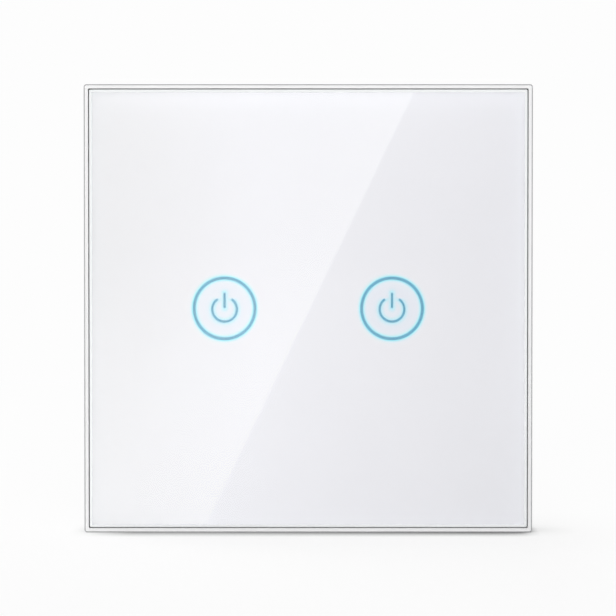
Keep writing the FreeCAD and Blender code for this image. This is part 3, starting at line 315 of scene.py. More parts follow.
# %% Stand the mirrored card behind the camera
CARD_Y = -1.31
CARD_HALF = 0.24
EDGE_TOP = Vector((20.6, 42.4)) * MM
EDGE_LOW = Vector((-20.3, -42.9)) * MM
EDGE_BLUR = 0.0007
BRIGHT_LEFT = (4.5, 4.5, 4.5)
FAR_LEFT = (2.5, 2.5, 2.0)
FADE_LEFT = (-0.135, -0.030)
RIGHT_OF_EDGE = (2.8, 2.8, 2.9)
FAR_RIGHT = (0.0, 0.0, 0.0)
FADE_RIGHT = (-0.20, 0.0)
PEAK = 5.0
FLOOR_IMAGE = 1.5
FLOOR_ABOVE = 0.3

mirror_y = 2 * glass_low.y - camera.location.y
SPREAD = (CARD_Y - mirror_y) / (glass_low.y - mirror_y)


def on_card(point):
    """Where the card shows in the glass at a point, as x and z on the card."""
    return Vector((
        camera.location.x + (point.x - camera.location.x) * SPREAD,
        camera.location.z + (point.y - camera.location.z) * SPREAD,
    ))


card_top = on_card(EDGE_TOP)
card_low = on_card(EDGE_LOW)
along = (card_top - card_low).normalized()
across_left = Vector((-along.y, along.x))
middle = on_card(Vector((0, 0)))
card_mesh = bpy.data.meshes.new("mirrored_card")
card_mesh.from_pydata(
    [(middle.x + x * CARD_HALF, CARD_Y, middle.y + z * CARD_HALF)
     for x, z in ((-1, -1), (1, -1), (1, 1), (-1, 1))],
    [], [(0, 1, 2, 3)])
card = bpy.data.objects.new("mirrored_card", card_mesh)
bpy.context.scene.collection.objects.link(card)
card.visible_camera = False
card.visible_diffuse = False
card.visible_transmission = False
card.visible_shadow = False
card.visible_volume_scatter = False

glow = bpy.data.materials.new("studio_panel")
glow.use_nodes = True
tree = glow.node_tree
tree.nodes.clear()
where = tree.nodes.new("ShaderNodeTexCoord").outputs["Object"]
side = vector(tree, "DOT_PRODUCT", where, (across_left.x, 0, across_left.y))
left_of_edge = calculate(tree, "SUBTRACT", side, across_left.dot(card_top))
card_x, _, card_z = split(tree, where)


def two_stops(tree, value, span, first, last):
    """A ramp of colour between two levels of light, as a share of the peak."""
    ramp = tree.nodes.new("ShaderNodeValToRGB")
    ends = ramp.color_ramp.elements
    ends[0].color = tuple(channel / PEAK for channel in first) + (1,)
    ends[1].color = tuple(channel / PEAK for channel in last) + (1,)
    tree.links.new(ranged(tree, value, 0, 1, *span), ramp.inputs["Fac"])
    return ramp.outputs["Color"]


left_span = [middle.x + reach for reach in FADE_LEFT]
left_light = two_stops(tree, card_x, left_span, FAR_LEFT, BRIGHT_LEFT)
right_light = two_stops(tree, left_of_edge, FADE_RIGHT, FAR_RIGHT, RIGHT_OF_EDGE)
on_left = ranged(tree, left_of_edge, 0, 1, -EDGE_BLUR, EDGE_BLUR)
emit = tree.nodes.new("ShaderNodeEmission")
emit.inputs["Strength"].default_value = PEAK
tree.links.new(mixed_color(tree, on_left, right_light, left_light), emit.inputs["Color"])
floor_glow = tree.nodes.new("ShaderNodeEmission")
lowest = on_card(Vector((0, glass_low.z)))
floor_top = middle.y + FLOOR_ABOVE * (middle.y - lowest.y)
tree.links.new(ranged(tree, card_z, FLOOR_IMAGE, 0, lowest.y, floor_top), floor_glow.inputs["Strength"])
both = tree.nodes.new("ShaderNodeAddShader")
tree.links.new(emit.outputs[0], both.inputs[0])
tree.links.new(floor_glow.outputs[0], both.inputs[1])
card_end = tree.nodes.new("ShaderNodeOutputMaterial")
tree.links.new(both.outputs[0], card_end.inputs["Surface"])
card_mesh.materials.append(glow)
print("card: spread", round(SPREAD, 3))

# %% [markdown]
# ## Finishes
#
# Nothing on a switch is one flat colour. Moulded plastic has a spark-eroded grain and slightly uneven
# gloss, plating has fine scratches and cloudy patches, and a circuit board shows its glass weave. Each
# family gets one function that builds its nodes on Object coordinates, so a pattern stays on its piece.

# %% Helpers for materials
finish = {}


def begin(name):
    """A new finish's tree, its Principled shader and the coordinates that patterns read."""
    material = bpy.data.materials.new(name)
    material.use_nodes = True
    tree = material.node_tree
    place = tree.nodes.new("ShaderNodeTexCoord").outputs["Object"]
    finish[name] = material
    return tree, tree.nodes["Principled BSDF"], place


def stretched(tree, place, x=1.0, y=1.0, z=1.0):
    """Coordinates that make a pattern run fine or long along an axis."""
    mapping = tree.nodes.new("ShaderNodeMapping")
    mapping.inputs["Scale"].default_value = (x, y, z)
    tree.links.new(place, mapping.inputs["Vector"])
    return mapping.outputs["Vector"]


def noise(tree, place, size, detail=2.0):
    """Smooth noise with lumps about `size` metres apart."""
    texture = tree.nodes.new("ShaderNodeTexNoise")
    texture.inputs["Scale"].default_value = 1 / size
    texture.inputs["Detail"].default_value = detail
    tree.links.new(place, texture.inputs["Vector"])
    return texture.outputs["Fac"]


def blended(tree, value, first, second, start=0.3, end=0.7):
    """A colour that goes from the first to the second as the value rises."""
    ramp = tree.nodes.new("ShaderNodeValToRGB")
    ramp.color_ramp.elements[0].position = start
    ramp.color_ramp.elements[0].color = (*first, 1)
    ramp.color_ramp.elements[1].position = end
    ramp.color_ramp.elements[1].color = (*second, 1)
    tree.links.new(value, ramp.inputs["Fac"])
    return ramp.outputs["Color"]


def raised(tree, shader, height, depth):
    """Bump of a depth in metres."""
    bump = tree.nodes.new("ShaderNodeBump")
    bump.inputs["Distance"].default_value = depth
    tree.links.new(height, bump.inputs["Height"])
    tree.links.new(bump.outputs["Normal"], shader.inputs["Normal"])


def darker(color, share):
    """A colour with each channel taken down to a share."""
    return tuple(channel * share for channel in color)


# %% Moulded plastics
def moulded(name, color, roughness, grain=0.35 * MM, depth=0.006 * MM, cloud=0.965):
    """Spark-eroded plastic: a fine grain, uneven gloss and a faint cloud in its colour."""
    tree, shader, place = begin(name)
    broad = noise(tree, place, 14 * MM, 3)
    clouded = blended(tree, broad, darker(color, cloud), color, 0.2, 0.8)
    tree.links.new(clouded, shader.inputs["Base Color"])
    gloss = ranged(tree, noise(tree, place, 4 * MM, 2), roughness * 0.93, roughness * 1.07, 0.2, 0.8)
    tree.links.new(gloss, shader.inputs["Roughness"])
    raised(tree, shader, noise(tree, place, grain, 1), depth)


moulded("white_rim", (0.86, 0.86, 0.865), 0.30, grain=0.6 * MM, depth=0.0005 * MM, cloud=0.985)
moulded("white_cup", (0.90, 0.90, 0.90), 0.22)
moulded("white_frame", (0.79, 0.79, 0.78), 0.48)
moulded("white_housing", (0.77, 0.77, 0.76), 0.50, depth=0.010 * MM)
moulded("grey_cover", (0.62, 0.63, 0.645), 0.42)
moulded("black_header", (0.018, 0.018, 0.018), 0.45)
moulded("black_chip", (0.016, 0.016, 0.018), 0.60, grain=0.12 * MM, depth=0.004 * MM, cloud=0.8)
moulded("green_block", (0.012, 0.15, 0.055), 0.40)
moulded("relay_case", (0.014, 0.014, 0.016), 0.30)
moulded("relay_base", (0.022, 0.022, 0.024), 0.45)
moulded("film_box", (0.58, 0.34, 0.02), 0.28)
moulded("fuse_tube", (0.36, 0.24, 0.12), 0.35)
moulded("can_sleeve", (0.010, 0.014, 0.035), 0.25, depth=0.002 * MM)
moulded("clear_tape", (0.78, 0.78, 0.75), 0.55, grain=1.5 * MM)
print("plastics:", len(finish))


# %% Painted shade line on the rim's outer corner
CORNER = 0.55 * MM
LINE = 0.20 * MM
EDGE_SHADE_GREY = (0.34, 0.34, 0.35, 1)

bezel_low, bezel_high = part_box("front_bezel")
tree = finish["white_rim"].node_tree
shader = tree.nodes["Principled BSDF"]
place = tree.nodes["Texture Coordinate"].outputs["Object"]
flat = vector(tree, "MULTIPLY", place, (1, 0, 1))
inside = vector(tree, "SUBTRACT", vector(tree, "ABSOLUTE", flat),
                (bezel_high.x - CORNER, 0, bezel_high.z - CORNER))
beyond = vector(tree, "LENGTH", vector(tree, "MAXIMUM", inside, (0, 0, 0)))
to_side = calculate(tree, "SUBTRACT", CORNER, beyond)
depth = split(tree, place)[1]
to_front = calculate(tree, "SUBTRACT", depth, bezel_low.y)
# Painted shade: a thin grey line on the rim's outer corner, where the rounded edge turns away from the
# light.
line = ranged(tree, far_from(tree, to_side, to_front), 1, 0, LINE * 0.8, LINE * 1.2)
with_edge_shade = mixed_color(tree, line, shader.inputs["Base Color"].links[0].from_socket, EDGE_SHADE_GREY)
print("edge line", LINE / MM, "mm")

# %% [markdown]
# The fine gap round the glass gets almost no light, so its shade is painted: the pocket's walls are darker
# a little way below the rim's front face.

# %% Painted shade on the walls of the gap round the glass
GAP_SHADE_GREY = (0.38, 0.38, 0.385, 1)
GAP_SHADE_FROM = 0.45 * MM
GAP_SHADE_TO = 0.75 * MM
POCKET_WALL = 0.24 * MM
POCKET_SHELF = 0.6 * MM

off_x, _, off_z = split(tree, vector(tree, "ABSOLUTE", flat))
off_middle = calculate(tree, "MAXIMUM", off_x, off_z)
in_pocket = calculate(tree, "LESS_THAN", off_middle, glass_high.x + POCKET_WALL)
above_shelf = calculate(tree, "LESS_THAN", depth, glass_high.y + POCKET_SHELF)
# Painted shade: below the rim the pocket's walls turn dark grey.
gap_shade = times(tree, in_pocket, above_shelf, ranged(tree, to_front, 0, 1, GAP_SHADE_FROM, GAP_SHADE_TO))
tree.links.new(mixed_color(tree, gap_shade, with_edge_shade, GAP_SHADE_GREY), shader.inputs["Base Color"])
print("dust from", GAP_SHADE_FROM / MM, "mm below the rim")


# %% Plated and bare metals
def plated(name, color, roughness, streak=(1, 1, 1), cloud=0.82):
    """Metal with cloudy plating and fine scratches along one direction."""
    tree, shader, place = begin(name)
    shader.inputs["Metallic"].default_value = 1.0
    patches = noise(tree, place, 1.6 * MM, 4)
    tree.links.new(blended(tree, patches, darker(color, cloud), color), shader.inputs["Base Color"])
    scratches = noise(tree, stretched(tree, place, *streak), 0.16 * MM, 3)
    tree.links.new(ranged(tree, scratches, roughness * 0.7, roughness * 1.35), shader.inputs["Roughness"])
    raised(tree, shader, scratches, 0.003 * MM)


plated("zinc_screw", (0.62, 0.64, 0.67), 0.28)
plated("zinc_cage", (0.58, 0.59, 0.59), 0.34, streak=(1, 8, 1))
plated("spring_steel", (0.60, 0.61, 0.63), 0.22)
plated("soft_iron", (0.50, 0.50, 0.51), 0.30, streak=(1, 8, 1))
plated("tin_can", (0.66, 0.66, 0.63), 0.30, streak=(1, 1, 10))
plated("brass_contact", (0.62, 0.40, 0.11), 0.26, streak=(1, 8, 1))
plated("gold_pin", (0.86, 0.60, 0.20), 0.20, streak=(1, 8, 1), cloud=0.92)
plated("solder", (0.68, 0.68, 0.69), 0.24)
print("with metals:", len(finish))


# %% Circuit boards, ferrite and wound parts
WEAVE_PITCH = 0.9 * MM


def laminate(name, mask, weave_depth=0.0015 * MM, weave=0.93):
    """Solder mask over glass cloth: the weave shows faintly in the colour and the surface."""
    tree, shader, place = begin(name)
    x, _, z = split(tree, place)
    waves = 2 * math.pi / WEAVE_PITCH
    cloth = times(tree, calculate(tree, "SINE", times(tree, x, waves)),
                  calculate(tree, "SINE", times(tree, z, waves)))
    woven = blended(tree, calculate(tree, "MULTIPLY_ADD", cloth, 0.5, 0.5), darker(mask, weave), mask)
    tree.links.new(woven, shader.inputs["Base Color"])
    gloss = noise(tree, place, 6 * MM, 2)
    tree.links.new(ranged(tree, gloss, 0.24, 0.36), shader.inputs["Roughness"])
    raised(tree, shader, cloth, weave_depth)


def sintered(name, color):
    """Ferrite: dark, dry and finely pitted."""
    tree, shader, place = begin(name)
    pits = noise(tree, place, 0.35 * MM, 5)
    tree.links.new(blended(tree, pits, darker(color, 0.5), color, 0.35, 0.6), shader.inputs["Base Color"])
    tree.links.new(ranged(tree, pits, 0.75, 0.55), shader.inputs["Roughness"])
    raised(tree, shader, pits, 0.02 * MM)


def wrapped(name, color, layer):
    """Tape or lacquered wire in layers along Y, with a soft gloss."""
    tree, shader, place = begin(name)
    turns = calculate(tree, "SINE", times(tree, split(tree, place)[1], 2 * math.pi / layer))
    wander = noise(tree, place, 1.2 * MM, 3)
    height = calculate(tree, "ADD", turns, wander)
    tree.links.new(blended(tree, wander, darker(color, 0.85), color), shader.inputs["Base Color"])
    tree.links.new(ranged(tree, wander, 0.28, 0.42), shader.inputs["Roughness"])
    raised(tree, shader, height, 0.02 * MM)
    return shader


laminate("touch_laminate", (0.80, 0.81, 0.80), weave=0.97)
laminate("power_laminate", (0.006, 0.11, 0.028))
laminate("radio_laminate", (0.004, 0.010, 0.045), weave=0.85)
sintered("ferrite", (0.026, 0.026, 0.028))
laminate("tracks_on_white", (0.66, 0.70, 0.68), weave=1.0)
laminate("tracks_on_green", (0.012, 0.20, 0.055), weave=1.0)
wrapped("yellow_winding", (0.70, 0.42, 0.02), 2.2 * MM)
coil_shader = wrapped("copper_coil", (0.62, 0.20, 0.06), 0.22 * MM)
coil_shader.inputs["Metallic"].default_value = 1.0
coil_shader.inputs["Coat Weight"].default_value = 0.6
print("with boards and coils:", len(finish))


# %% Coated disc, lamp and light guide
def glossy_dip(name, color):
    """Epoxy that was dipped: thick gloss with slow waves."""
    tree, shader, place = begin(name)
    waves = noise(tree, place, 2.5 * MM, 2)
    tree.links.new(blended(tree, waves, darker(color, 0.8), color), shader.inputs["Base Color"])
    tree.links.new(ranged(tree, waves, 0.12, 0.25), shader.inputs["Roughness"])
    shader.inputs["Coat Weight"].default_value = 0.5
    raised(tree, shader, waves, 0.05 * MM)
    return shader


glossy_dip("blue_disc", (0.008, 0.055, 0.34))
lamp_shader = glossy_dip("lamp_body", (0.80, 0.74, 0.34))
lamp_shader.inputs["Emission Color"].default_value = (0.25, 0.85, 1.0, 1)
lamp_shader.inputs["Emission Strength"].default_value = 0.4
guide_shader = glossy_dip("milky_guide", (0.82, 0.85, 0.87))
guide_shader.inputs["Subsurface Weight"].default_value = 0.35
guide_shader.inputs["Subsurface Radius"].default_value = (0.002, 0.002, 0.002)
print("with lamps:", len(finish))

# %% [markdown]
# ## The lit keys
#
# Each key is a clear window in the print: a ring, and the usual standby sign inside it. Four lamps
# behind it make the ring a little uneven in brightness, and some of their light leaks into the white
# print as a faint halo and a cyan tint. Both follow from the distance to the ring, and to the arc and
# the bar of the sign.

# %% White print with a halo round ring and sign
KEY_OFFSET = 16.1 * MM
RING_MIDDLE = 5.85 * MM
INSIDE_RING = (4.6 * MM, 6.6 * MM)
PRINT_WHITES = ((0.775, 0.775, 0.81), (0.79, 0.79, 0.825))
COOL_WHITE = (0.738, 0.772, 0.838, 1)
HALO_COLOR = (0.0, 0.9, 1.0, 1)
HALO_WIDTH = 0.75 * MM
HALO_LIGHT = 0.10
SIGN_HALO = 0.8
TINT = (0.06, 0.66, 0.76, 1)
TINT_WIDTH = 0.45 * MM
TINT_STRENGTH = 1.3
SIGN_RADIUS = 2.37 * MM
SIGN_DROP = 0.17 * MM
SIGN_GAP = math.radians(70)
SIGN_TINT_WIDTH = 0.60 * MM
SIGN_TINT = 0.55
BAR_FOOT = 0.10 * MM
BAR_TOP = 2.98 * MM
ARC_FADE = (-0.2 * MM, 0.4 * MM)


def about_key(tree, place):
    """A place's x and z from the nearer key's middle, from the piece's own coordinates."""
    x, _, z = split(tree, place)
    return calculate(tree, "SUBTRACT", calculate(tree, "ABSOLUTE", x), KEY_OFFSET), z


tree, shader, place = begin("white_print")
cloud = noise(tree, place, 30 * MM, 2)
tree.links.new(ranged(tree, noise(tree, place, 1 * MM), 0.5, 0.6), shader.inputs["Roughness"])
x, z = about_key(tree, place)
distance = far_from(tree, x, z)
off_ring = calculate(tree, "SUBTRACT", distance, RING_MIDDLE)
from_middle = calculate(tree, "ADD", z, SIGN_DROP)
off_arc = calculate(tree, "SUBTRACT", far_from(tree, x, from_middle), SIGN_RADIUS)
arc_ends = SIGN_RADIUS * math.cos(SIGN_GAP / 2)
on_arc = ranged(tree, from_middle, 1, 0, *(arc_ends + reach for reach in ARC_FADE))
below_bar = calculate(tree, "SUBTRACT", BAR_FOOT, z)
above_bar = calculate(tree, "SUBTRACT", z, BAR_TOP)
past_bar = calculate(tree, "MAXIMUM", calculate(tree, "MAXIMUM", below_bar, above_bar), 0)
off_bar = far_from(tree, x, past_bar)


def bell(off, width):
    """One on a line, falling off on both sides over a width."""
    share = calculate(tree, "DIVIDE", off, width)
    return calculate(tree, "EXPONENT", times(tree, share, share, -1))


near_arc = times(tree, bell(off_arc, SIGN_TINT_WIDTH), on_arc)
near_sign = calculate(tree, "MAXIMUM", near_arc, bell(off_bar, SIGN_TINT_WIDTH))
tint = calculate(tree, "MAXIMUM", times(tree, bell(off_ring, TINT_WIDTH), TINT_STRENGTH),
                 times(tree, near_sign, SIGN_TINT))
inside_ring = ranged(tree, distance, 1, 0, *INSIDE_RING)
white = mixed_color(tree, inside_ring, blended(tree, cloud, *PRINT_WHITES), COOL_WHITE)
tree.links.new(mixed_color(tree, tint, white, TINT), shader.inputs["Base Color"])
halo = calculate(tree, "MAXIMUM", bell(off_ring, HALO_WIDTH), times(tree, near_sign, SIGN_HALO))
shader.inputs["Emission Color"].default_value = HALO_COLOR
tree.links.new(times(tree, halo, HALO_LIGHT), shader.inputs["Emission Strength"])
print("keys", KEY_OFFSET / MM, "mm from the middle, rings", 2 * RING_MIDDLE / MM, "mm across")

# %% Lit windows
CYAN = (0.0, 0.26, 0.42, 1)
LAMPS_A_KEY = 4
LAMP_RIPPLE = 0.06

tree, shader, place = begin("icon_window")
x, z = about_key(tree, place)
spots = calculate(tree, "COSINE", times(tree, calculate(tree, "ARCTAN2", z, x), LAMPS_A_KEY))
even = calculate(tree, "MULTIPLY_ADD", spots, -LAMP_RIPPLE, 1.0)
fine = ranged(tree, noise(tree, place, 0.4 * MM), 0.97, 1.03)
shader.inputs["Base Color"].default_value = (0.01, 0.02, 0.03, 1)
shader.inputs["Roughness"].default_value = 0.3
shader.inputs["Emission Color"].default_value = CYAN
tree.links.new(times(tree, even, fine), shader.inputs["Emission Strength"])
print("windows lit by", LAMPS_A_KEY, "lamps a key")

# %% [markdown]
# The glass is a real slab: clear, with an index of 1.5. Light that only fills the scene would need
# many bounces to get through it, so shadow and diffuse rays pass straight on, and the print behind the
# glass is lit without noise. Camera rays still meet the surface and its reflection.

# %% Clear glass
tree, shader, place = begin("clear_glass")
shader.inputs["Base Color"].default_value = (1, 1, 1, 1)
shader.inputs["Transmission Weight"].default_value = 1.0
shader.inputs["IOR"].default_value = 1.5
tree.links.new(ranged(tree, noise(tree, place, 9 * MM), 0.0, 0.006), shader.inputs["Roughness"])
through = tree.nodes.new("ShaderNodeBsdfTransparent")
fills = seen_directly(tree, "Is Shadow Ray", "Is Diffuse Ray")
pane_shader = mixed_shader(tree, fills, shader.outputs[0], through.outputs[0])
tree.links.new(pane_shader, tree.nodes["Material Output"].inputs["Surface"])
print("glass: index", shader.inputs["IOR"].default_value)

# %% [markdown]
# The chamfer and the sides are ground, so they scatter. Light that runs inside the slab leaves there,
# which is why the edge of such a glass looks brighter than its face.

# %% Ground edges of the glass
EDGE_GLOW = 0.12
LET_PAST = 0.65

tree, shader, place = begin("ground_edge")
frost = noise(tree, place, 0.25 * MM, 3)
tree.links.new(blended(tree, frost, (0.88, 0.91, 0.91), (0.93, 0.95, 0.95)), shader.inputs["Base Color"])
tree.links.new(ranged(tree, frost, 0.45, 0.6), shader.inputs["Roughness"])
raised(tree, shader, frost, 0.004 * MM)
shader.inputs["Emission Color"].default_value = (1, 1, 1, 1)
shader.inputs["Emission Strength"].default_value = EDGE_GLOW
through = tree.nodes.new("ShaderNodeBsdfTransparent")
let_past = times(tree, seen_directly(tree, "Is Shadow Ray"), LET_PAST)
edge_shader = mixed_shader(tree, let_past, shader.outputs[0], through.outputs[0])
tree.links.new(edge_shader, tree.nodes["Material Output"].inputs["Surface"])
print("finishes:", sorted(finish))


# %% Give every node its finish
def coat(mesh, material):
    """Gives a mesh one finish."""
    mesh.materials.clear()
    mesh.materials.append(finish[material])


for name, node in nodes.items():
    coat(node.data, slot_of[name])
print("coated:", len(nodes), "nodes")

# %% [markdown]
# ## Edges
#
# A CAD edge is perfectly sharp and a made one never is. Each moulded, bent or sawn part is replaced by
# itself with a small rounding, and shaded smooth only across shallow angles.

# %% Helpers for pieces
MERGE = 0.002 * MM
SHARP_FROM = math.radians(32)


def middle_of(low, high):
    """The middle of a box in x and z."""
    return (low.x + high.x) / 2, (low.z + high.z) / 2


def add_piece(name, mesh, body, slot, *replaced):
    """Puts a finished mesh in the scene, on its body and in the place of CAD nodes."""
    piece = bpy.data.objects.new(name, mesh)
    bpy.context.scene.collection.objects.link(piece)
    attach(piece, body)
    if replaced:
        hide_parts(*replaced)
    print("piece:", name, len(mesh.polygons), "faces on", body)


def add_plain(name, mesh, body, material, *replaced):
    """A piece coated with one finish."""
    coat(mesh, material)
    add_piece(name, mesh, body, material, *replaced)


def welded(name):
    """A CAD node's mesh with its doubles merged and its flat faces joined."""
    form = bmesh.new()
    form.from_mesh(nodes[name].data)
    bmesh.ops.remove_doubles(form, verts=form.verts, dist=MERGE)
    bmesh.ops.dissolve_limit(form, angle_limit=math.radians(0.5), verts=form.verts, edges=form.edges)
    return form


def mesh_of(form, name):
    """A bmesh as a mesh."""
    mesh = bpy.data.meshes.new(name)
    form.to_mesh(mesh)
    form.free()
    return mesh


def settle(name, mesh, *modifiers):
    """Applies modifiers, given as a kind and its settings, and returns the plain mesh."""
    holder = bpy.data.objects.new(name, mesh)
    bpy.context.scene.collection.objects.link(holder)
    for kind, settings in modifiers:
        modifier = holder.modifiers.new(kind.lower(), kind)
        for key, value in settings.items():
            setattr(modifier, key, value)
    graph = bpy.context.evaluated_depsgraph_get()
    result = bpy.data.meshes.new_from_object(holder.evaluated_get(graph))
    result.name = name
    bpy.data.objects.remove(holder)
    return result


def edge_round(width):
    """A bevel of the sharp edges, as a modifier for settle."""
    return ("BEVEL", {"width": width, "segments": 2, "limit_method": "ANGLE",
                      "angle_limit": SHARP_FROM, "miter_outer": "MITER_ARC"})


def smooth_by_angle(mesh, degrees=18):
    """Shades a mesh smooth but keeps edges sharper than an angle crisp."""
    form = bmesh.new()
    form.from_mesh(mesh)
    limit = math.radians(degrees)
    for face in form.faces:
        face.smooth = True
    for edge in form.edges:
        edge.smooth = len(edge.link_faces) == 2 and edge.calc_face_angle(0) < limit
    form.to_mesh(mesh)
    form.free()


def tighten(form, half, old, new):
    """Gives the four corners of an outline a smaller radius. `half` is half the outline's side."""
    middle = half - old
    share = new / old
    for vertex in form.verts:
        x = abs(vertex.co.x) - middle
        z = abs(vertex.co.z) - middle
        reach = math.hypot(x, z)
        if min(x, z) > -0.001 * MM and reach < old + 0.01 * MM:
            vertex.co.x = math.copysign(middle + (1 - share) * reach + share * x, vertex.co.x)
            vertex.co.z = math.copysign(middle + (1 - share) * reach + share * z, vertex.co.z)


def eased(name, width, corners=()):
    """Replaces a CAD node by itself with its moulded or trimmed edges rounded."""
    form = welded(name)
    for half, old, new in corners:
        tighten(form, half, old, new)
    result = settle(f"{name}_eased", mesh_of(form, name), edge_round(width))
    smooth_by_angle(result)
    coat(result, slot_of[name])
    add_piece(f"{name}_eased", result, body_of[name], slot_of[name], name)


# %% Ease the edges, given in millimetres
OUTER_CORNER = (bezel_high.x, 0.9 * MM, CORNER)
GLASS_CORNER = (0.5 * MM, 0.25 * MM)
GLASS_GAP = 0.2 * MM
eased("front_bezel", 0.15 * MM, corners=(OUTER_CORNER, (glass_high.x + GLASS_GAP, *GLASS_CORNER)))
EASED = {
    "base_frame": 0.30,
    "rear_housing": 0.45,
    "inner_cover": 0.15,
    "terminal_body": 0.20,
    "header_socket": 0.15,
    "header_body": 0.12,
    "radio_shield": 0.25,
    "left_relay_case": 0.30,
    "right_relay_case": 0.30,
    "transformer_core": 0.20,
    "transformer_winding": 0.50,
    "film_capacitor": 0.50,
    "rectifier": 0.30,
    "touch_board": 0.06,
    "power_board": 0.08,
    "radio_board": 0.05,
}
for name, width in EASED.items():
    eased(name, width * MM)

# %% [markdown]
# The pane ends a hair in front of the print, so that the two faces don't lie in one plane. Its front
# and back are clear, and its chamfer and sides are ground.

# %% Cut the glass
GLASS_LIFT = 0.03 * MM
form = welded("glass_panel")
tighten(form, glass_high.x, *GLASS_CORNER)
for vertex in form.verts:
    if vertex.co.y > glass_high.y - GLASS_LIFT:
        vertex.co.y -= GLASS_LIFT
pane = settle("glass_pane", mesh_of(form, "glass"), edge_round(0.07 * MM))
smooth_by_angle(pane, 8)
coat(pane, "clear_glass")
pane.materials.append(finish["ground_edge"])
for face in pane.polygons:
    if abs(face.normal.y) < 0.95:
        face.material_index = 1
add_piece("glass_pane", pane, "front_panel", "clear_glass", "glass_panel")

# %% [markdown]
# ## Screws
#
# A screw is turned on a lathe, so its head is a profile that goes round the axis. Its thread is a
# radius that falls and rises once per pitch along the shank and shifts by one pitch per turn. The
# driver recess is cut out with a tapered cross. The board and the housing have one screw made each,
# and Geometry Nodes set copies of it on a list of points. The clamp screws are made one by one, as
# each turns on its own body.


# %% Helpers that turn, thread and carve
INTO_HEAD = 0.1 * MM
SLOT_HALF = 0.35 * MM


def loop_of(form, points):
    """New points of a shape, in order."""
    return [form.verts.new(point) for point in points]


def bridge(form, loops, closed=False):
    """Faces from each loop of points to the next, and a cap on both ends unless it closes on itself."""
    for first, second in zip(loops, loops[1:] + loops[:1] if closed else loops[1:]):
        for step in range(len(first)):
            following = (step + 1) % len(first)
            form.faces.new((first[step], first[following], second[following], second[step]))
    if not closed:
        form.faces.new(loops[0])
        form.faces.new(loops[-1])


def lathe(form, profile, centre=(0, 0), segments=32):
    """Turns (radius, depth) pairs about an axis along Y through the centre (x, z)."""
    rings = []
    for radius, depth in profile:
        count = segments if radius > 0 else 1
        turns = [2 * math.pi * step / segments for step in range(count)]
        rings.append(loop_of(form, [
            (centre[0] + radius * math.cos(turn), depth, centre[1] + radius * math.sin(turn))
            for turn in turns]))
    for first, second in zip(rings, rings[1:]):
        for step in range(segments):
            following = (step + 1) % segments
            corners = [first[step % len(first)], first[following % len(first)],
                       second[following % len(second)], second[step % len(second)]]
            corners = list(dict.fromkeys(corners))
            if len(corners) > 2:
                form.faces.new(corners)


def thread(form, radius, length, pitch, depth, segments=20, steps=6, taper=0.6 * MM):
    """A threaded shank from just inside the head down to a blunt point."""
    rows = int(round(length / pitch * steps))
    rings = []
    for row in range(rows + 1):
        down = length * row / rows
        ring = []
        for step in range(segments):
            angle = 2 * math.pi * step / segments
            phase = (down / pitch - step / segments) % 1
            reach = radius - depth * abs(2 * phase - 1)
            reach *= min(1.0, 0.55 + 0.45 * (length - down) / taper)
            ring.append((reach * math.cos(angle), INTO_HEAD - down, reach * math.sin(angle)))
        rings.append(loop_of(form, ring))
    bridge(form, rings)


def finished(form, name, smooth=None):
    """Closes a bmesh into a mesh with its faces turned outwards."""
    bmesh.ops.remove_doubles(form, verts=form.verts, dist=0.0005 * MM)
    bmesh.ops.recalc_face_normals(form, faces=form.faces)
    mesh = mesh_of(form, name)
    if smooth:
        smooth_by_angle(mesh, smooth)
    return mesh


def tapered_cross(half_arm, half_width, top, bottom, shrink):
    """The solid that a cross-head driver takes up."""
    form = bmesh.new()
    a, w = half_arm, half_width
    outline = [(a, -w), (a, w), (w, w), (w, a), (-w, a), (-w, w),
               (-a, w), (-a, -w), (-w, -w), (-w, -a), (w, -a), (w, -w)]
    upper = loop_of(form, [(x, top, z) for x, z in outline])
    lower = loop_of(form, [(x * shrink, bottom, z * shrink) for x, z in outline])
    bridge(form, [upper, lower])
    return finished(form, "cross")


def box_mesh(name, low, high):
    """A plain block between two corners."""
    form = bmesh.new()
    middle = (Vector(low) + Vector(high)) / 2
    extent = Vector(high) - Vector(low)
    bmesh.ops.create_cube(form, size=1, matrix=Matrix.Translation(middle) @ Matrix.Diagonal((*extent, 1)))
    return finished(form, name)


def carve(mesh, *tools):
    """Takes tool meshes out of a mesh."""
    holders = []
    modifiers = []
    for tool in tools:
        holder = bpy.data.objects.new("tool", tool)
        bpy.context.scene.collection.objects.link(holder)
        holders.append(holder)
        modifiers.append(("BOOLEAN", {"object": holder, "operation": "DIFFERENCE", "solver": "EXACT"}))
    result = settle(mesh.name, mesh, *modifiers)
    for holder in holders:
        bpy.data.objects.remove(holder)
    return result


def screw(name, head, height, shank, length, pitch, slotted=False):
    """A screw whose head lies at positive Y: a domed head, a cross recess and a thread."""
    form = bmesh.new()
    lathe(form, [(0, height), (head * 0.30, height), (head * 0.44, height * 0.86),
                 (head * 0.5, height * 0.5), (head * 0.5, 0.03 * MM), (head * 0.48, 0), (0, 0)],
          segments=40)
    body = finished(form, name)
    tools = [tapered_cross(head * 0.30, head * 0.075, height * 1.1, height * 0.28, 0.45)]
    if slotted:
        tools.append(box_mesh("slot", (-head, height * 0.5, -SLOT_HALF), (head, height * 1.2, SLOT_HALF)))
    body = carve(body, *tools)
    form = bmesh.new()
    form.from_mesh(body)
    thread(form, shank / 2, length, pitch, min(0.35 * pitch, shank * 0.16))
    return finished(form, name, 24)


# %% Trees that set copies on points and in rows
def new_tree(name, *inputs):
    """A Geometry Nodes tree with named inputs, and its first and last nodes."""
    tree = bpy.data.node_groups.new(name, "GeometryNodeTree")
    tree.interface.new_socket("Geometry", in_out="INPUT", socket_type="NodeSocketGeometry")
    for label, kind in inputs:
        tree.interface.new_socket(label, in_out="INPUT", socket_type=kind)
    tree.interface.new_socket("Geometry", in_out="OUTPUT", socket_type="NodeSocketGeometry")
    return tree, tree.nodes.new("NodeGroupInput"), tree.nodes.new("NodeGroupOutput")


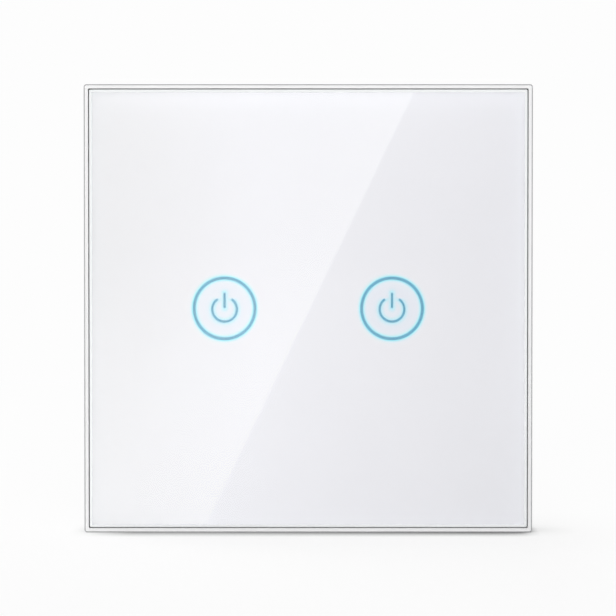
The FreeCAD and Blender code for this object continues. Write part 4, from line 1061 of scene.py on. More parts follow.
def close_tree(tree, start, end, geometry):
    """Ends a tree in Realize Instances and Set Material."""
    realize = tree.nodes.new("GeometryNodeRealizeInstances")
    paint = tree.nodes.new("GeometryNodeSetMaterial")
    tree.links.new(geometry, realize.inputs["Geometry"])
    tree.links.new(realize.outputs["Geometry"], paint.inputs["Geometry"])
    tree.links.new(start.outputs["Finish"], paint.inputs["Material"])
    tree.links.new(paint.outputs["Geometry"], end.inputs["Geometry"])


def grown(name, source, tree, values, smooth=None):
    """Runs a tree on a mesh and returns the plain result."""
    holder = bpy.data.objects.new(name, source)
    bpy.context.scene.collection.objects.link(holder)
    modifier = holder.modifiers.new("tree", "NODES")
    modifier.node_group = tree
    for item in tree.interface.items_tree:
        if item.item_type == "SOCKET" and item.in_out == "INPUT" and item.name in values:
            modifier[item.identifier] = values[item.name]
    graph = bpy.context.evaluated_depsgraph_get()
    result = bpy.data.meshes.new_from_object(holder.evaluated_get(graph))
    result.name = name
    bpy.data.objects.remove(holder)
    if smooth:
        smooth_by_angle(result, smooth)
    return result


copies, start, end = new_tree("copies_on_points", ("Shape", "NodeSocketObject"),
                              ("Turn", "NodeSocketVector"), ("Finish", "NodeSocketMaterial"))
info = copies.nodes.new("GeometryNodeObjectInfo")
place_on = copies.nodes.new("GeometryNodeInstanceOnPoints")
copies.links.new(start.outputs["Shape"], info.inputs["Object"])
copies.links.new(start.outputs["Geometry"], place_on.inputs["Points"])
copies.links.new(info.outputs["Geometry"], place_on.inputs["Instance"])
copies.links.new(start.outputs["Turn"], place_on.inputs["Rotation"])
close_tree(copies, start, end, place_on.outputs["Instances"])


def copies_of(name, shape, points, material, turn=(0, 0, 0), smooth=24):
    """Copies of a mesh on points, as one plain mesh."""
    holder = bpy.data.objects.new("shape", shape)
    bpy.context.scene.collection.objects.link(holder)
    cloud = bpy.data.meshes.new("points")
    cloud.from_pydata([tuple(point) for point in points], [], [])
    values = {"Shape": holder, "Turn": turn, "Finish": finish[material]}
    result = grown(name, cloud, copies, values, smooth)
    bpy.data.objects.remove(holder)
    return result


def joined(name, *parts):
    """Meshes of one finish as one."""
    form = bmesh.new()
    for part in parts:
        form.from_mesh(part)
    mesh = mesh_of(form, name)
    for material in parts[0].materials:
        mesh.materials.append(material)
    return mesh


# %% Turn and place the fixed screws
def solids_of(name):
    """The corners of the boxes round a node's separate solids, by rows from below and from the left."""
    form = welded(name)
    left = set(form.verts)
    boxes = []
    while left:
        island = [left.pop()]
        for vertex in island:
            for edge in vertex.link_edges:
                other = edge.other_vert(vertex)
                if other in left:
                    left.remove(other)
                    island.append(other)
        low = Vector((min(v.co[k] for v in island) for k in range(3)))
        high = Vector((max(v.co[k] for v in island) for k in range(3)))
        boxes.append((low, high))
    form.free()
    return sorted(boxes, key=lambda pair: (round(pair[0].z, 6), round(pair[0].x, 6)))


def screw_set(node, head_height, length, shank, pitch):
    """Replaces a node of equal screws by detailed ones."""
    solids = solids_of(node)
    head = solids[0][1].x - solids[0][0].x
    shape = screw(f"{node}_shape", head, head_height, shank, length, pitch)
    points = []
    for low, high in solids:
        x, z = middle_of(low, high)
        points.append((x, high.y - head_height, z))
    mesh = copies_of(f"{node}_turned", shape, points, slot_of[node])
    add_piece(f"{node}_turned", mesh, body_of[node], slot_of[node], node)


screw_set("board_screws", head_height=0.9 * MM, length=3.2 * MM, shank=1.9 * MM, pitch=0.7 * MM)
screw_set("housing_screws", head_height=1.6 * MM, length=8.0 * MM, shank=2.5 * MM, pitch=1.0 * MM)

# %% Turn the clamp screws, each on its own body
CLAMP_HEAD = 1.6 * MM
CLAMP_SHANK = 3.0 * MM
CLAMP_PITCH = 0.5 * MM
WIRES = ("line", "neutral", "load_one", "load_two")
for wire in WIRES:
    node = f"{wire}_terminal_screw"
    low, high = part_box(node)
    x, z = middle_of(low, high)
    shape = screw(f"{wire}_clamp_screw", high.x - low.x, CLAMP_HEAD, CLAMP_SHANK,
                  high.y - low.y - CLAMP_HEAD, CLAMP_PITCH, slotted=True)
    shape.transform(Matrix.Translation((x, high.y - CLAMP_HEAD, z)))
    add_plain(f"{wire}_clamp_screw", shape, body_of[node], "zinc_screw", node)
    eased(f"{wire}_clamp_cage", 0.15 * MM)

# %% [markdown]
# ## Header pins
#
# The six pins are square brass wire, gold plated, and pointed at both ends so that they find their
# holes. The header holds them in a moulded bar, and a cone of solder holds each one on the board.

# %% Point the pins and solder them
def squares(form, *sizes):
    """Square loops about the Y axis, each from half its side and its depth."""
    return [loop_of(form, [(x * half, depth, z * half) for x, z in ((-1, -1), (1, -1), (1, 1), (-1, 1))])
            for half, depth in sizes]


def pointed_pin(side, low, high, point):
    """A square pin along Y with a blunt point at each end."""
    form = bmesh.new()
    bridge(form, squares(form, (side * 0.2, low), (side / 2, low + point), (side / 2, high - point),
                         (side * 0.2, high)))
    return finished(form, "pin")


def solder_shape(radius, height):
    """A cone of solder on a face at zero: a negative height stands to the front."""
    form = bmesh.new()
    lathe(form, [(0, height), (radius * 0.34, height), (radius * 0.48, height * 0.72),
                 (radius * 0.72, height * 0.32), (radius, height * 0.06), (radius, -height * 0.05),
                 (0, -height * 0.05)], segments=16)
    return finished(form, "solder")


pin_solids = solids_of("header_pins")
pin_low, pin_high = pin_solids[0]
pin = pointed_pin(pin_high.x - pin_low.x, pin_low.y, pin_high.y, point=0.45 * MM)
pin_places = [middle_of(*pair) for pair in pin_solids]
pins = copies_of("pointed_pins", pin, [(x, 0, z) for x, z in pin_places], "gold_pin", smooth=10)
add_piece("pointed_pins", pins, "front_panel", "gold_pin", "header_pins")

touch_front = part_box("touch_board")[0].y
touch_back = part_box("touch_board")[1].y
cone_points = [(x, touch_front, z) for x, z in pin_places]
cones = copies_of("header_solder", solder_shape(0.78 * MM, -0.45 * MM), cone_points, "solder", smooth=50)
add_piece("header_solder", cones, "front_panel", "tin_can")

# %% Rims of the socket's contacts
SUNK = 0.05 * MM


def square_rim(inner, outer, height):
    """The flared rim of a socket contact round a square hole, standing to the front."""
    form = bmesh.new()
    loops = squares(form, (inner, SUNK), (outer, SUNK), (outer, -height), (inner, -height))
    bridge(form, loops, closed=True)
    return finished(form, "rim")


socket_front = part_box("header_socket")[0].y
rim_points = [(x, socket_front, z) for x, z in pin_places]
rim = square_rim(0.42 * MM, 0.72 * MM, 0.04 * MM)
rims = copies_of("socket_rims", rim, rim_points, "gold_pin", smooth=10)
add_piece("socket_rims", rims, "wall_unit", "gold_pin")

# %% [markdown]
# ## Boards
#
# A printed track is a thin strip of copper under the solder mask, so it shows as a faint raised line.
# Geometry Nodes sweeps a round profile along each path and presses it flat on the board. Vias, pads,
# chip resistors and chip capacitors are set on lists of points.

# %% Tracks along paths
tracks, start, end = new_tree("tracks_on_a_board", ("Half Width", "NodeSocketFloat"),
                              ("Flatness", "NodeSocketFloat"), ("Level", "NodeSocketFloat"),
                              ("Finish", "NodeSocketMaterial"))
as_curves = tracks.nodes.new("GeometryNodeMeshToCurve")
round_profile = tracks.nodes.new("GeometryNodeCurvePrimitiveCircle")
round_profile.inputs["Resolution"].default_value = 8
follow = tracks.nodes.new("GeometryNodeCurveToMesh")
follow.inputs["Fill Caps"].default_value = True
lift = tracks.nodes.new("ShaderNodeCombineXYZ")
squeeze = tracks.nodes.new("ShaderNodeCombineXYZ")
squeeze.inputs["X"].default_value = 1
squeeze.inputs["Z"].default_value = 1
press = tracks.nodes.new("GeometryNodeTransform")
tracks.links.new(start.outputs["Geometry"], as_curves.inputs["Mesh"])
tracks.links.new(start.outputs["Half Width"], round_profile.inputs["Radius"])
tracks.links.new(as_curves.outputs["Curve"], follow.inputs["Curve"])
tracks.links.new(round_profile.outputs["Curve"], follow.inputs["Profile Curve"])
tracks.links.new(start.outputs["Level"], lift.inputs["Y"])
tracks.links.new(start.outputs["Flatness"], squeeze.inputs["Y"])
tracks.links.new(follow.outputs["Mesh"], press.inputs["Geometry"])
tracks.links.new(lift.outputs["Vector"], press.inputs["Translation"])
tracks.links.new(squeeze.outputs["Vector"], press.inputs["Scale"])
close_tree(tracks, start, end, press.outputs["Geometry"])


def tracks_of(name, paths, half_width, level, material, flatness=0.28):
    """Tracks along paths of (x, z) points in millimetres, on a face at a level along Y."""
    points = []
    edges = []
    for path in paths:
        first = len(points)
        points += [(x * MM, 0, z * MM) for x, z in path]
        edges += [(index, index + 1) for index in range(first, len(points) - 1)]
    lines = bpy.data.meshes.new("paths")
    lines.from_pydata(points, edges, [])
    return grown(name, lines, tracks, {"Half Width": half_width, "Flatness": flatness, "Level": level,
                                       "Finish": finish[material]}, 60)


def arc(x, z, radius, first, last, steps=28):
    """A path round a centre from one angle to another, in degrees."""
    turns = [math.radians(first + (last - first) * step / steps) for step in range(steps + 1)]
    return [(x + radius * math.cos(turn), z + radius * math.sin(turn)) for turn in turns]


def on_face(spots, level):
    """Points in metres on a face at a level along Y, from (x, z) in millimetres."""
    return [(x * MM, level, z * MM) for x, z in spots]


def disc_shape(radius, height):
    """A low round disc, sunk as deep as it is high."""
    form = bmesh.new()
    lathe(form, [(0, height), (radius * 0.9, height), (radius, height * 0.5), (radius, -height),
                 (0, -height)], segments=16)
    return finished(form, "disc")


def gull_leg(width, reach=0.95 * MM, stand=0.5 * MM, thick=0.13 * MM):
    """A bent chip leg: out along X from a body, down to a board at zero, height to the front."""
    form = bmesh.new()
    into_body = -0.2 * MM
    outline = [(into_body, -stand), (reach * 0.40, -stand), (reach * 0.62, -thick), (reach, -thick),
               (reach, 0), (reach * 0.5, 0), (reach * 0.28, thick - stand), (into_body, thick - stand)]
    bridge(form, [loop_of(form, [(x, y, side * width / 2) for x, y in outline]) for side in (-1, 1)])
    return finished(form, "leg")


# %% Tracks, vias and chips on the touch board
pin_row = [round(x / MM, 3) for x, _ in pin_places]
pin_level = round(pin_places[0][1] / MM, 3)
bundle = []
for index, x in enumerate(sorted(pin_row)):
    aside = index - 2.5
    lane = aside * 1.1
    bundle.append([(x, pin_level + 1.6), (x, pin_level + 2.4 + abs(aside) * 0.5),
                   (lane, -2.0 + abs(aside) * 0.3), (lane, 13.0 + index * 0.6)])
rings = [arc(side * KEY_OFFSET / MM, 0, radius, 25, 335) for side in (-1, 1) for radius in (8.6, 9.4)]
feeds = [[(side * 24.0, 3.6), (side * 25.0, 5.0), (side * 25.0, 27.5), (side * 22.0, 27.5)]
         for side in (-1, 1)]
border = [[(-24.9, -26.0), (-24.9, 26.0)], [(24.9, -26.0), (24.9, 3.0)], [(-19.5, 32.9), (19.5, 32.9)],
          [(-19.5, -32.9), (19.5, -32.9)]]
branches = [[(side * 2.75, z), (side * 6.0, z), (side * 7.6, z + side * 1.2)] for side in (-1, 1)
            for z in (3.0, 7.0, 11.0)]
paths = bundle + rings + feeds + border + branches
touch_tracks = tracks_of("touch_tracks", paths, 0.17 * MM, touch_back, "tracks_on_white")
add_piece("touch_tracks", touch_tracks, "front_panel", "touch_laminate")

via_spots = [path[-1] for path in bundle + feeds]
via_spots += [(-16.1, 13.5), (16.1, 13.5), (-12.0, -14.0), (12.0, -14.0), (-9.0, 20.0), (9.0, 20.0),
              (0.0, 24.0)]
via = disc_shape(0.42 * MM, 0.05 * MM)
vias = copies_of("touch_vias", via, on_face(via_spots, touch_back), "gold_pin", smooth=60)
add_piece("touch_vias", vias, "front_panel", "gold_pin")

RESISTOR_SPOTS = [(8.6, 4.3), (8.6, 8.3), (8.6, 12.3), (-8.6, 1.8), (-8.6, 5.8), (-8.6, 9.8)]
CAPACITOR_SPOTS = [(-6.0, 17.5), (-3.0, 17.5), (0.0, 17.5), (3.0, 17.5), (6.0, 17.5), (-16.1, -14.0),
                   (16.1, -14.0)]
resistor_points = on_face(RESISTOR_SPOTS, touch_back)
capacitor_points = on_face(CAPACITOR_SPOTS, touch_back)
upright = (0, math.pi / 2, 0)
chip_body = box_mesh("chip_body", (-0.52 * MM, -0.02 * MM, -0.4 * MM), (0.52 * MM, 0.42 * MM, 0.4 * MM))
chip_ends = joined("chip_ends", *(box_mesh("end", (side * 0.66 * MM - 0.16 * MM, -0.02 * MM, -0.41 * MM),
                                           (side * 0.66 * MM + 0.16 * MM, 0.45 * MM, 0.41 * MM))
                                  for side in (-1, 1)))
bodies = copies_of("resistor_bodies", chip_body, resistor_points, "black_chip", smooth=10)
ends = copies_of("resistor_ends", chip_ends, resistor_points, "solder", smooth=10)
ceramic = copies_of("capacitor_bodies", chip_body, capacitor_points, "fuse_tube", upright, smooth=10)
ceramic_ends = copies_of("capacitor_ends", chip_ends, capacitor_points, "solder", upright, smooth=10)
add_piece("resistor_bodies", bodies, "front_panel", "black_chip")
add_piece("capacitor_bodies", ceramic, "front_panel", "fuse_tube")
add_piece("chip_part_ends", joined("chip_part_ends", ends, ceramic_ends), "front_panel", "tin_can")

# %% Legs of the touch chip
chip_low, chip_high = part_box("touch_controller")
LEGS_A_SIDE = 8
pitch = (chip_high.z - chip_low.z) / LEGS_A_SIDE
rows = [chip_low.z + pitch * (step + 0.5) for step in range(LEGS_A_SIDE)]
right_row = [(chip_high.x, touch_front, z) for z in rows]
left_row = [(chip_low.x, touch_front, z) for z in rows]
leg = gull_leg(0.3 * MM)
right_legs = copies_of("right_legs", leg, right_row, "solder", smooth=10)
left_legs = copies_of("left_legs", leg, left_row, "solder", (0, math.pi, 0), smooth=10)
add_piece("touch_chip_legs", joined("touch_chip_legs", right_legs, left_legs), "front_panel", "tin_can")
eased("touch_controller", 0.12 * MM)

# %% [markdown]
# ## The mains side
#
# The power board carries tall parts: two relays, a transformer, capacitors and the wire clamps. Their
# leads come through the board and end in solder on its front face. Copper wire on a bobbin lies turn
# against turn, so each winding is one long helix that Geometry Nodes sweeps.

# %% Windings
windings, start, end = new_tree("winding", ("Turns", "NodeSocketFloat"), ("Radius", "NodeSocketFloat"),
                                ("Length", "NodeSocketFloat"), ("Wire", "NodeSocketFloat"),
                                ("Place", "NodeSocketVector"), ("Finish", "NodeSocketMaterial"))
helix = windings.nodes.new("GeometryNodeCurveSpiral")
helix.inputs["Resolution"].default_value = 24
wire_profile = windings.nodes.new("GeometryNodeCurvePrimitiveCircle")
wire_profile.inputs["Resolution"].default_value = 6
swept = windings.nodes.new("GeometryNodeCurveToMesh")
swept.inputs["Fill Caps"].default_value = True
lay_down = windings.nodes.new("GeometryNodeTransform")
lay_down.inputs["Rotation"].default_value = (-math.pi / 2, 0, 0)
for source, target in (("Turns", "Rotations"), ("Radius", "Start Radius"), ("Radius", "End Radius"),
                       ("Length", "Height")):
    windings.links.new(start.outputs[source], helix.inputs[target])
windings.links.new(start.outputs["Wire"], wire_profile.inputs["Radius"])
windings.links.new(helix.outputs["Curve"], swept.inputs["Curve"])
windings.links.new(wire_profile.outputs["Curve"], swept.inputs["Profile Curve"])
windings.links.new(swept.outputs["Mesh"], lay_down.inputs["Geometry"])
windings.links.new(start.outputs["Place"], lay_down.inputs["Translation"])
close_tree(windings, start, end, lay_down.outputs["Geometry"])


def winding(name, centre, low, high, outside, wire_width):
    """A single layer of wire about an axis along Y, between two depths."""
    empty = bpy.data.meshes.new("empty")
    empty.from_pydata([(0, 0, 0)], [], [])
    length = high - low - wire_width
    return grown(name, empty, windings, {
        "Turns": length / wire_width, "Radius": outside - wire_width / 2, "Length": length,
        "Wire": wire_width / 2, "Place": (centre[0], low + wire_width / 2, centre[1]),
        "Finish": finish["copper_coil"]}, 60)


FLANGE = 0.7 * MM
BORE = 1.6 * MM
COIL_OUTSIDE = 3.5 * MM
WIRE = 0.24 * MM
CHOKE_FLANGE = 1.0 * MM
CHOKE_OUTSIDE = 2.6 * MM
CHOKE_WIRE = 0.42 * MM
for side in ("left", "right"):
    node = f"{side}_relay_coil"
    low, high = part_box(node)
    centre = middle_of(low, high)
    outer = (high.x - low.x) / 2
    under = COIL_OUTSIDE - WIRE * 0.75
    form = bmesh.new()
    lathe(form, [(BORE, low.y), (outer, low.y), (outer, low.y + FLANGE), (under, low.y + FLANGE),
                 (under, high.y - FLANGE), (outer, high.y - FLANGE), (outer, high.y), (BORE, high.y),
                 (BORE, low.y)], centre, 40)
    add_plain(f"{side}_bobbin", finished(form, f"{side}_bobbin", 30), "wall_unit", "relay_base", node)
    coil = winding(f"{side}_coil_wire", centre, low.y + FLANGE, high.y - FLANGE, COIL_OUTSIDE, WIRE)
    add_piece(f"{side}_coil_wire", coil, "wall_unit", "copper_coil", node)

low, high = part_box("line_choke")
choke_wire = winding("choke_wire", middle_of(low, high), low.y + CHOKE_FLANGE, high.y - CHOKE_FLANGE,
                     CHOKE_OUTSIDE, CHOKE_WIRE)
add_piece("choke_wire", choke_wire, "wall_unit", "copper_coil")
eased("line_choke", 0.15 * MM)


# %% [markdown]
# An aluminium can is drawn in one piece and sealed with a crimp near its foot. A printed sleeve is
# shrunk over it and leaves the scored top bare, where the can would open if it burst.

# %% Capacitor cans
def can(name, centre, low, high, radius):
    """An electrolytic can: a shrunk sleeve, a crimp near the foot and a scored top."""
    form = bmesh.new()
    lathe(form, [(0, low), (radius * 0.95, low), (radius, low + 0.3 * MM), (radius, low + 1.1 * MM),
                 (radius * 0.94, low + 1.45 * MM), (radius * 0.94, low + 1.7 * MM),
                 (radius, low + 2.05 * MM), (radius, high - 0.4 * MM), (radius * 0.97, high - 0.1 * MM),
                 (radius * 0.88, high), (radius * 0.83, high - 0.08 * MM), (0, high - 0.3 * MM)],
          centre, 48)
    sleeve = finished(form, f"{name}_sleeve", 30)
    coat(sleeve, "can_sleeve")
    form = bmesh.new()
    lathe(form, [(0, high - 0.05 * MM), (radius * 0.80, high - 0.05 * MM),
                 (radius * 0.84, high - 0.12 * MM), (radius * 0.84, high - 0.4 * MM),
                 (0, high - 0.4 * MM)], centre, 48)
    top = finished(form, f"{name}_top")
    x, z = centre
    long = radius * 0.66
    score = 0.14 * MM
    level = high - 0.18 * MM
    top = carve(top, box_mesh("score", (x - long, level, z - score), (x + long, high, z + score)),
                box_mesh("score", (x - score, level, z - long), (x + score, high, z + long)))
    coat(top, "tin_can")
    return sleeve, top


tops = []
for node in ("bulk_capacitors", "output_capacitor"):
    sleeves = []
    for low, high in solids_of(node):
        sleeve, top = can(node, middle_of(low, high), low.y, high.y, (high.x - low.x) / 2)
        sleeves.append(sleeve)
        tops.append(top)
    add_piece(f"{node}_sleeves", joined(f"{node}_sleeves", *sleeves), "wall_unit", "can_sleeve", node)
add_piece("can_tops", joined("can_tops", *tops), "wall_unit", "tin_can")


# %% Varistor and fuse
def turned(mesh, angle, axis, place):
    """Turns a mesh about an axis and moves it."""
    mesh.transform(Matrix.Translation(place) @ Matrix.Rotation(angle, 4, axis))
    return mesh


low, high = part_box("varistor")
middle = (low + high) / 2
radius = (high.x - low.x) / 2
half = (high.z - low.z) / 2
form = bmesh.new()
lathe(form, [(0, -half), (radius * 0.72, -half), (radius * 0.93, -half * 0.72), (radius, -half * 0.25),
             (radius, half * 0.25), (radius * 0.93, half * 0.72), (radius * 0.72, half), (0, half)],
      segments=48)
disc = turned(finished(form, "dipped_disc", 40), math.pi / 2, "X", middle)
add_plain("dipped_disc", disc, "wall_unit", "blue_disc", "varistor")

low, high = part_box("fuse")
middle = (low + high) / 2
radius = (high.z - low.z) / 2
half = (high.x - low.x) / 2
CAP = 1.7 * MM
form = bmesh.new()
lathe(form, [(0, CAP * 0.5 - half), (radius * 0.9, CAP * 0.5 - half), (radius * 0.9, half - CAP * 0.5),
             (0, half - CAP * 0.5)], segments=32)
tube = turned(finished(form, "fuse_tube", 30), math.pi / 2, "Z", middle)
add_plain("fuse_body", tube, "wall_unit", "fuse_tube", "fuse")
form = bmesh.new()
for side in (-1, 1):
    inner = side * (half - CAP)
    lathe(form, [(0, side * half), (radius * 0.9, side * half), (radius, side * (half - 0.15 * MM)),
                 (radius, inner), (radius * 0.88, inner), (0, inner)], segments=32)
caps = turned(finished(form, "fuse_caps", 30), math.pi / 2, "Z", middle)
add_plain("fuse_caps", caps, "wall_unit", "tin_can", "fuse")

# %% Solder, tracks and chip legs on the power board
power_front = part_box("power_board")[0].y
tails = []
for low, high in solids_of("terminal_contacts"):
    form = welded("terminal_contacts")
    near = [v.co for v in form.verts if v.co.y < power_front and low.x <= v.co.x <= high.x]
    tails.append((sum(p.x for p in near) / len(near) / MM, sum(p.z for p in near) / len(near) / MM))
    form.free()
JOINTS = [
    (-17.2, -10.6), (-17.2, -4.2), (-12.0, -10.6), (-6.0, -9.8), (-3.2, -10.4), (2.8, -10.4),
    (2.8, -8.6), (8.0, -10.6), (14.0, -9.8), (17.2, -4.2), (-15.0, 4.5), (-12.5, 4.5), (-10.5, 4.5),
    (-15.0, 14.5), (-12.5, 14.5), (-10.5, 14.5), (3.25, 18.8), (6.75, 18.8), (11.75, 18.8),
    (15.25, 18.8), (10.5, 10.5), (18.5, 10.5), (18.2, 4.2), (-6.5, 19.3), (-3.5, 19.3),
    (-15.0, 18.0), (-15.0, 21.0), (-11.0, 18.0), (-11.0, 21.0),
]
joints = copies_of("power_solder", solder_shape(0.75 * MM, -0.55 * MM), on_face(JOINTS, power_front),
                   "solder", smooth=50)
tail_joints = copies_of("tail_solder", solder_shape(1.15 * MM, -0.42 * MM), on_face(tails, power_front),
                        "solder", smooth=50)
add_piece("power_solder", joined("power_solder", joints, tail_joints), "wall_unit", "tin_can")
wide = [[(x, z), (x, z + 3.5)] for x, z in tails]
wide += [[(-17.2, -4.2), (-17.2, 2.0), (-15.0, 4.5)], [(-15.0, 14.5), (-15.0, 18.0)],
         [(-11.0, 21.0), (-6.5, 19.3)], [(-3.5, 19.3), (3.25, 18.8)], [(6.75, 18.8), (11.75, 18.8)],
         [(15.25, 18.8), (18.5, 15.0), (18.5, 10.5)], [(18.2, 4.2), (18.5, 10.5)],
         [(17.2, -4.2), (19.0, 0.0), (18.2, 4.2)]]
power_tracks = tracks_of("power_tracks", wide, 0.75 * MM, power_front, "tracks_on_green", 0.12)
add_piece("power_tracks", power_tracks, "wall_unit", "power_laminate")
low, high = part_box("supply_chip")
columns = [low.x + (high.x - low.x) * (step + 0.5) / 4 for step in range(4)]
upper_row = [(x, power_front, high.z) for x in columns]
lower_row = [(x, power_front, low.z) for x in columns]
leg = gull_leg(0.4 * MM, reach=1.1 * MM, stand=0.7 * MM)
upper_legs = copies_of("upper_legs", leg, upper_row, "solder", (0, -math.pi / 2, 0), smooth=10)
lower_legs = copies_of("lower_legs", leg, lower_row, "solder", (0, math.pi / 2, 0), smooth=10)
add_piece("supply_chip_legs", joined("supply_chip_legs", upper_legs, lower_legs), "wall_unit", "tin_can")
eased("supply_chip", 0.12 * MM)

# %% [markdown]
# The wireless module is a small board on the large one. Its aerial is a track that goes to and fro on
# the bare end, its edges have plated pads, and spots of weld hold the lid of its can.

# %% Aerial, edge pads and shield of the wireless module
low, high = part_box("radio_board")
radio_front = low.y
zigzag = [(-7.5, 11.6)]
for step in range(6):
    x = -7.5 + step * 2.5
    z = 12.6 if step % 2 else 16.0
    zigzag += [(x, z), (x + 2.5, z)]
aerial = tracks_of("aerial", [zigzag], 0.30 * MM, radio_front, "gold_pin", 0.12)
add_piece("aerial", aerial, "wall_unit", "gold_pin")
pad = box_mesh("pad", (-0.55 * MM, -0.04 * MM, -0.4 * MM), (0.55 * MM, 0.04 * MM, 0.4 * MM))
pad_spots = [(side * 8.4, -5.4 + 1.5 * step) for side in (-1, 1) for step in range(11)]
pads = copies_of("edge_pads", pad, on_face(pad_spots, radio_front), "gold_pin", smooth=10)
add_piece("edge_pads", pads, "wall_unit", "gold_pin")
low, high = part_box("radio_shield")
dent = disc_shape(0.38 * MM, 0.07 * MM)
dent_points = [(low.x + 1.2 * MM + (high.x - low.x - 2.4 * MM) * step / 6, low.y, z)
               for step in range(7) for z in (low.z + 1.1 * MM, high.z - 1.1 * MM)]
welds = copies_of("shield_welds", dent, dent_points, "tin_can", smooth=60)
add_piece("shield_welds", welds, "wall_unit", "tin_can")


# %% [markdown]
# ## The small parts
#
# Bent strips, light cups, lamps and relay parts have finer edges than the housings. The touch springs
# are round wire, so they only need smooth shading.

# %% Round the small metal and moulded parts
def smoothed(name, degrees):
    """Replaces a CAD node by itself, welded and shaded smooth below an angle."""
    form = bmesh.new()
    form.from_mesh(nodes[name].data)
    bmesh.ops.remove_doubles(form, verts=form.verts, dist=MERGE)
    mesh = finished(form, f"{name}_smooth", degrees)
    coat(mesh, slot_of[name])
    add_piece(f"{name}_smooth", mesh, body_of[name], slot_of[name], name)


SMALL = {
    "left_light_cup": 0.15,
    "right_light_cup": 0.15,
    "left_light_guide": 0.12,
    "right_light_guide": 0.12,
    "indicator_leds": 0.08,
    "terminal_contacts": 0.08,
    "left_relay_base": 0.15,
    "right_relay_base": 0.15,
    "left_relay_yoke": 0.12,
    "right_relay_yoke": 0.12,
    "left_relay_contact": 0.08,
    "right_relay_contact": 0.08,
    "left_relay_armature": 0.06,
    "right_relay_armature": 0.06,
}
for name, width in SMALL.items():
    eased(name, width * MM)
for name in ("left_touch_spring", "right_touch_spring"):
    smoothed(name, 50)

# %% [markdown]
# ## Moulded marks
#
# The back of a real wall box unit is not bare: low collars ring the screwdriver holes, a bar of the
# right length shows how far to strip a wire, an arrow shows which way is up, and the pins that push
# the part out of its mould leave round marks. All of them stand a few tenths of a millimetre proud.
# Outlines and radii are given in millimetres.

# %% Helpers for raised marks
def foot_of(level, height):
    """The level at which a raised shape begins, a little below the face that it stands on."""
    return level - math.copysign(SUNK, height)


def prism(form, outline, level, height, draft=0.92):
    """A low raised shape on a face at a level along Y, a little smaller at its top."""
    middle_x = sum(x for x, _ in outline) / len(outline)
    middle_z = sum(z for _, z in outline) / len(outline)
    drawn_in = [(middle_x + (x - middle_x) * draft, middle_z + (z - middle_z) * draft) for x, z in outline]
    foot = loop_of(form, on_face(outline, foot_of(level, height)))
    top = loop_of(form, on_face(drawn_in, level + height))
    bridge(form, [foot, top])


def bar(x_low, x_high, z_low, z_high):
    """The outline of a bar in millimetres."""
    return [(x_low, z_low), (x_high, z_low), (x_high, z_high), (x_low, z_high)]


def hollow_bar(form, box, width, level, height):
    """A raised rectangular border on a face at a level along Y."""
    x_low, x_high, z_low, z_high = box
    outside = bar(x_low, x_high, z_low, z_high)
    inside = bar(x_low + width, x_high - width, z_low + width, z_high - width)
    foot = foot_of(level, height)
    top = level + height
    bridge(form, [loop_of(form, on_face(outline, depth)) for outline, depth in (
        (inside, foot), (outside, foot), (outside, top), (inside, top))], closed=True)


def low_ring(form, x, z, inner, outer, level, height):
    """A raised ring on a face at a level along Y."""
    foot = foot_of(level, height)
    lathe(form, [(inner * MM, foot), (outer * MM, foot), (outer * MM, level + height * 0.7),
                 ((outer - 0.08) * MM, level + height), ((inner + 0.08) * MM, level + height),
                 (inner * MM, level + height * 0.7), (inner * MM, foot)], (x * MM, z * MM), 40)


# %% Raised marks on the housing and the frame
COLLAR = (2.42, 3.0)
COLLAR_HEIGHT = 0.3 * MM
SIGN_HEIGHT = 0.25 * MM
LABEL_BOX = (-15, 15, -5.4, 1.0)
LABEL_WIDTH = 0.4
LABEL_HEIGHT = 0.18 * MM
SMALL_EJECTOR = (1.35, 1.55)
LARGE_EJECTOR = (1.75, 2.0)
EJECTOR_HEIGHT = 0.08 * MM
RIB_HEIGHT = 0.2 * MM

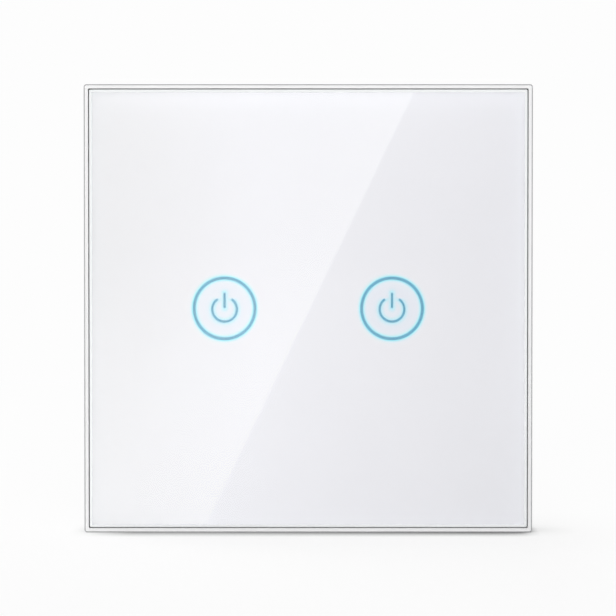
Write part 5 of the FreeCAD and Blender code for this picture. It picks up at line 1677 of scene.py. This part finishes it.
housing_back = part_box("rear_housing")[1].y
form = bmesh.new()
for wire in WIRES:
    x, z = middle_of(*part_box(f"{wire}_terminal_screw"))
    low_ring(form, x / MM, z / MM, *COLLAR, housing_back, COLLAR_HEIGHT)
gauge = [(-5.5, -10.2), (-5, -10.2), (-5, -9.4), (5, -9.4), (5, -10.2), (5.5, -10.2),
         (5.5, -7.8), (5, -7.8), (5, -8.6), (-5, -8.6), (-5, -7.8), (-5.5, -7.8)]
prism(form, gauge, housing_back, SIGN_HEIGHT, 0.985)
hollow_bar(form, LABEL_BOX, LABEL_WIDTH, housing_back, LABEL_HEIGHT)
for x, z in ((-21.6, 0), (21.6, 0), (-12, 21.6), (12, 21.6)):
    low_ring(form, x, z, *SMALL_EJECTOR, housing_back, EJECTOR_HEIGHT)
add_plain("housing_marks", finished(form, "housing_marks", 30), "wall_unit", "white_housing")

# The frame's floor lies between these two levels
FRAME_FRONT = -1.8 * MM
FRAME_BACK = 0.0
form = bmesh.new()
half_arrow = [(0.35, 29.5), (0.35, 35.3), (2.5, 33.15), (3.0, 33.65)]
arrow = half_arrow + [(0, 36.65)] + [(-x, z) for x, z in reversed(half_arrow)]
prism(form, arrow, FRAME_BACK, SIGN_HEIGHT, 1)
prism(form, arrow, FRAME_FRONT, -SIGN_HEIGHT, 1)
for x, z in ((-34, 20), (34, 20), (-34, -20), (34, -20), (-14, 34), (14, 34), (-14, -34), (14, -34)):
    low_ring(form, x, z, *LARGE_EJECTOR, FRAME_BACK, EJECTOR_HEIGHT)
    low_ring(form, x, z, *LARGE_EJECTOR, FRAME_FRONT, -EJECTOR_HEIGHT)
for x in (-24, 24):
    for z in (-30, 30):
        prism(form, bar(x - 5, x + 5, z - 0.4, z + 0.4), FRAME_FRONT, -RIB_HEIGHT, 0.97)
add_plain("frame_marks", finished(form, "frame_marks", 30), "wall_unit", "white_frame")

form = bmesh.new()
cover_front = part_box("inner_cover")[0].y
for x, z in ((-18.4, -18.4), (18.4, -18.4), (18.4, 18.4), (-18.4, 18.4)):
    low_ring(form, x, z, 0.9, 1.2, cover_front, -0.12 * MM)
for z in range(-2, 19, 4):
    prism(form, bar(-15, 15, z - 0.35, z + 0.35), cover_front, -RIB_HEIGHT, 0.98)
add_plain("cover_marks", finished(form, "cover_marks", 30), "wall_unit", "grey_cover")

# %% Set the view transform
bpy.context.scene.view_settings.view_transform = "Standard"
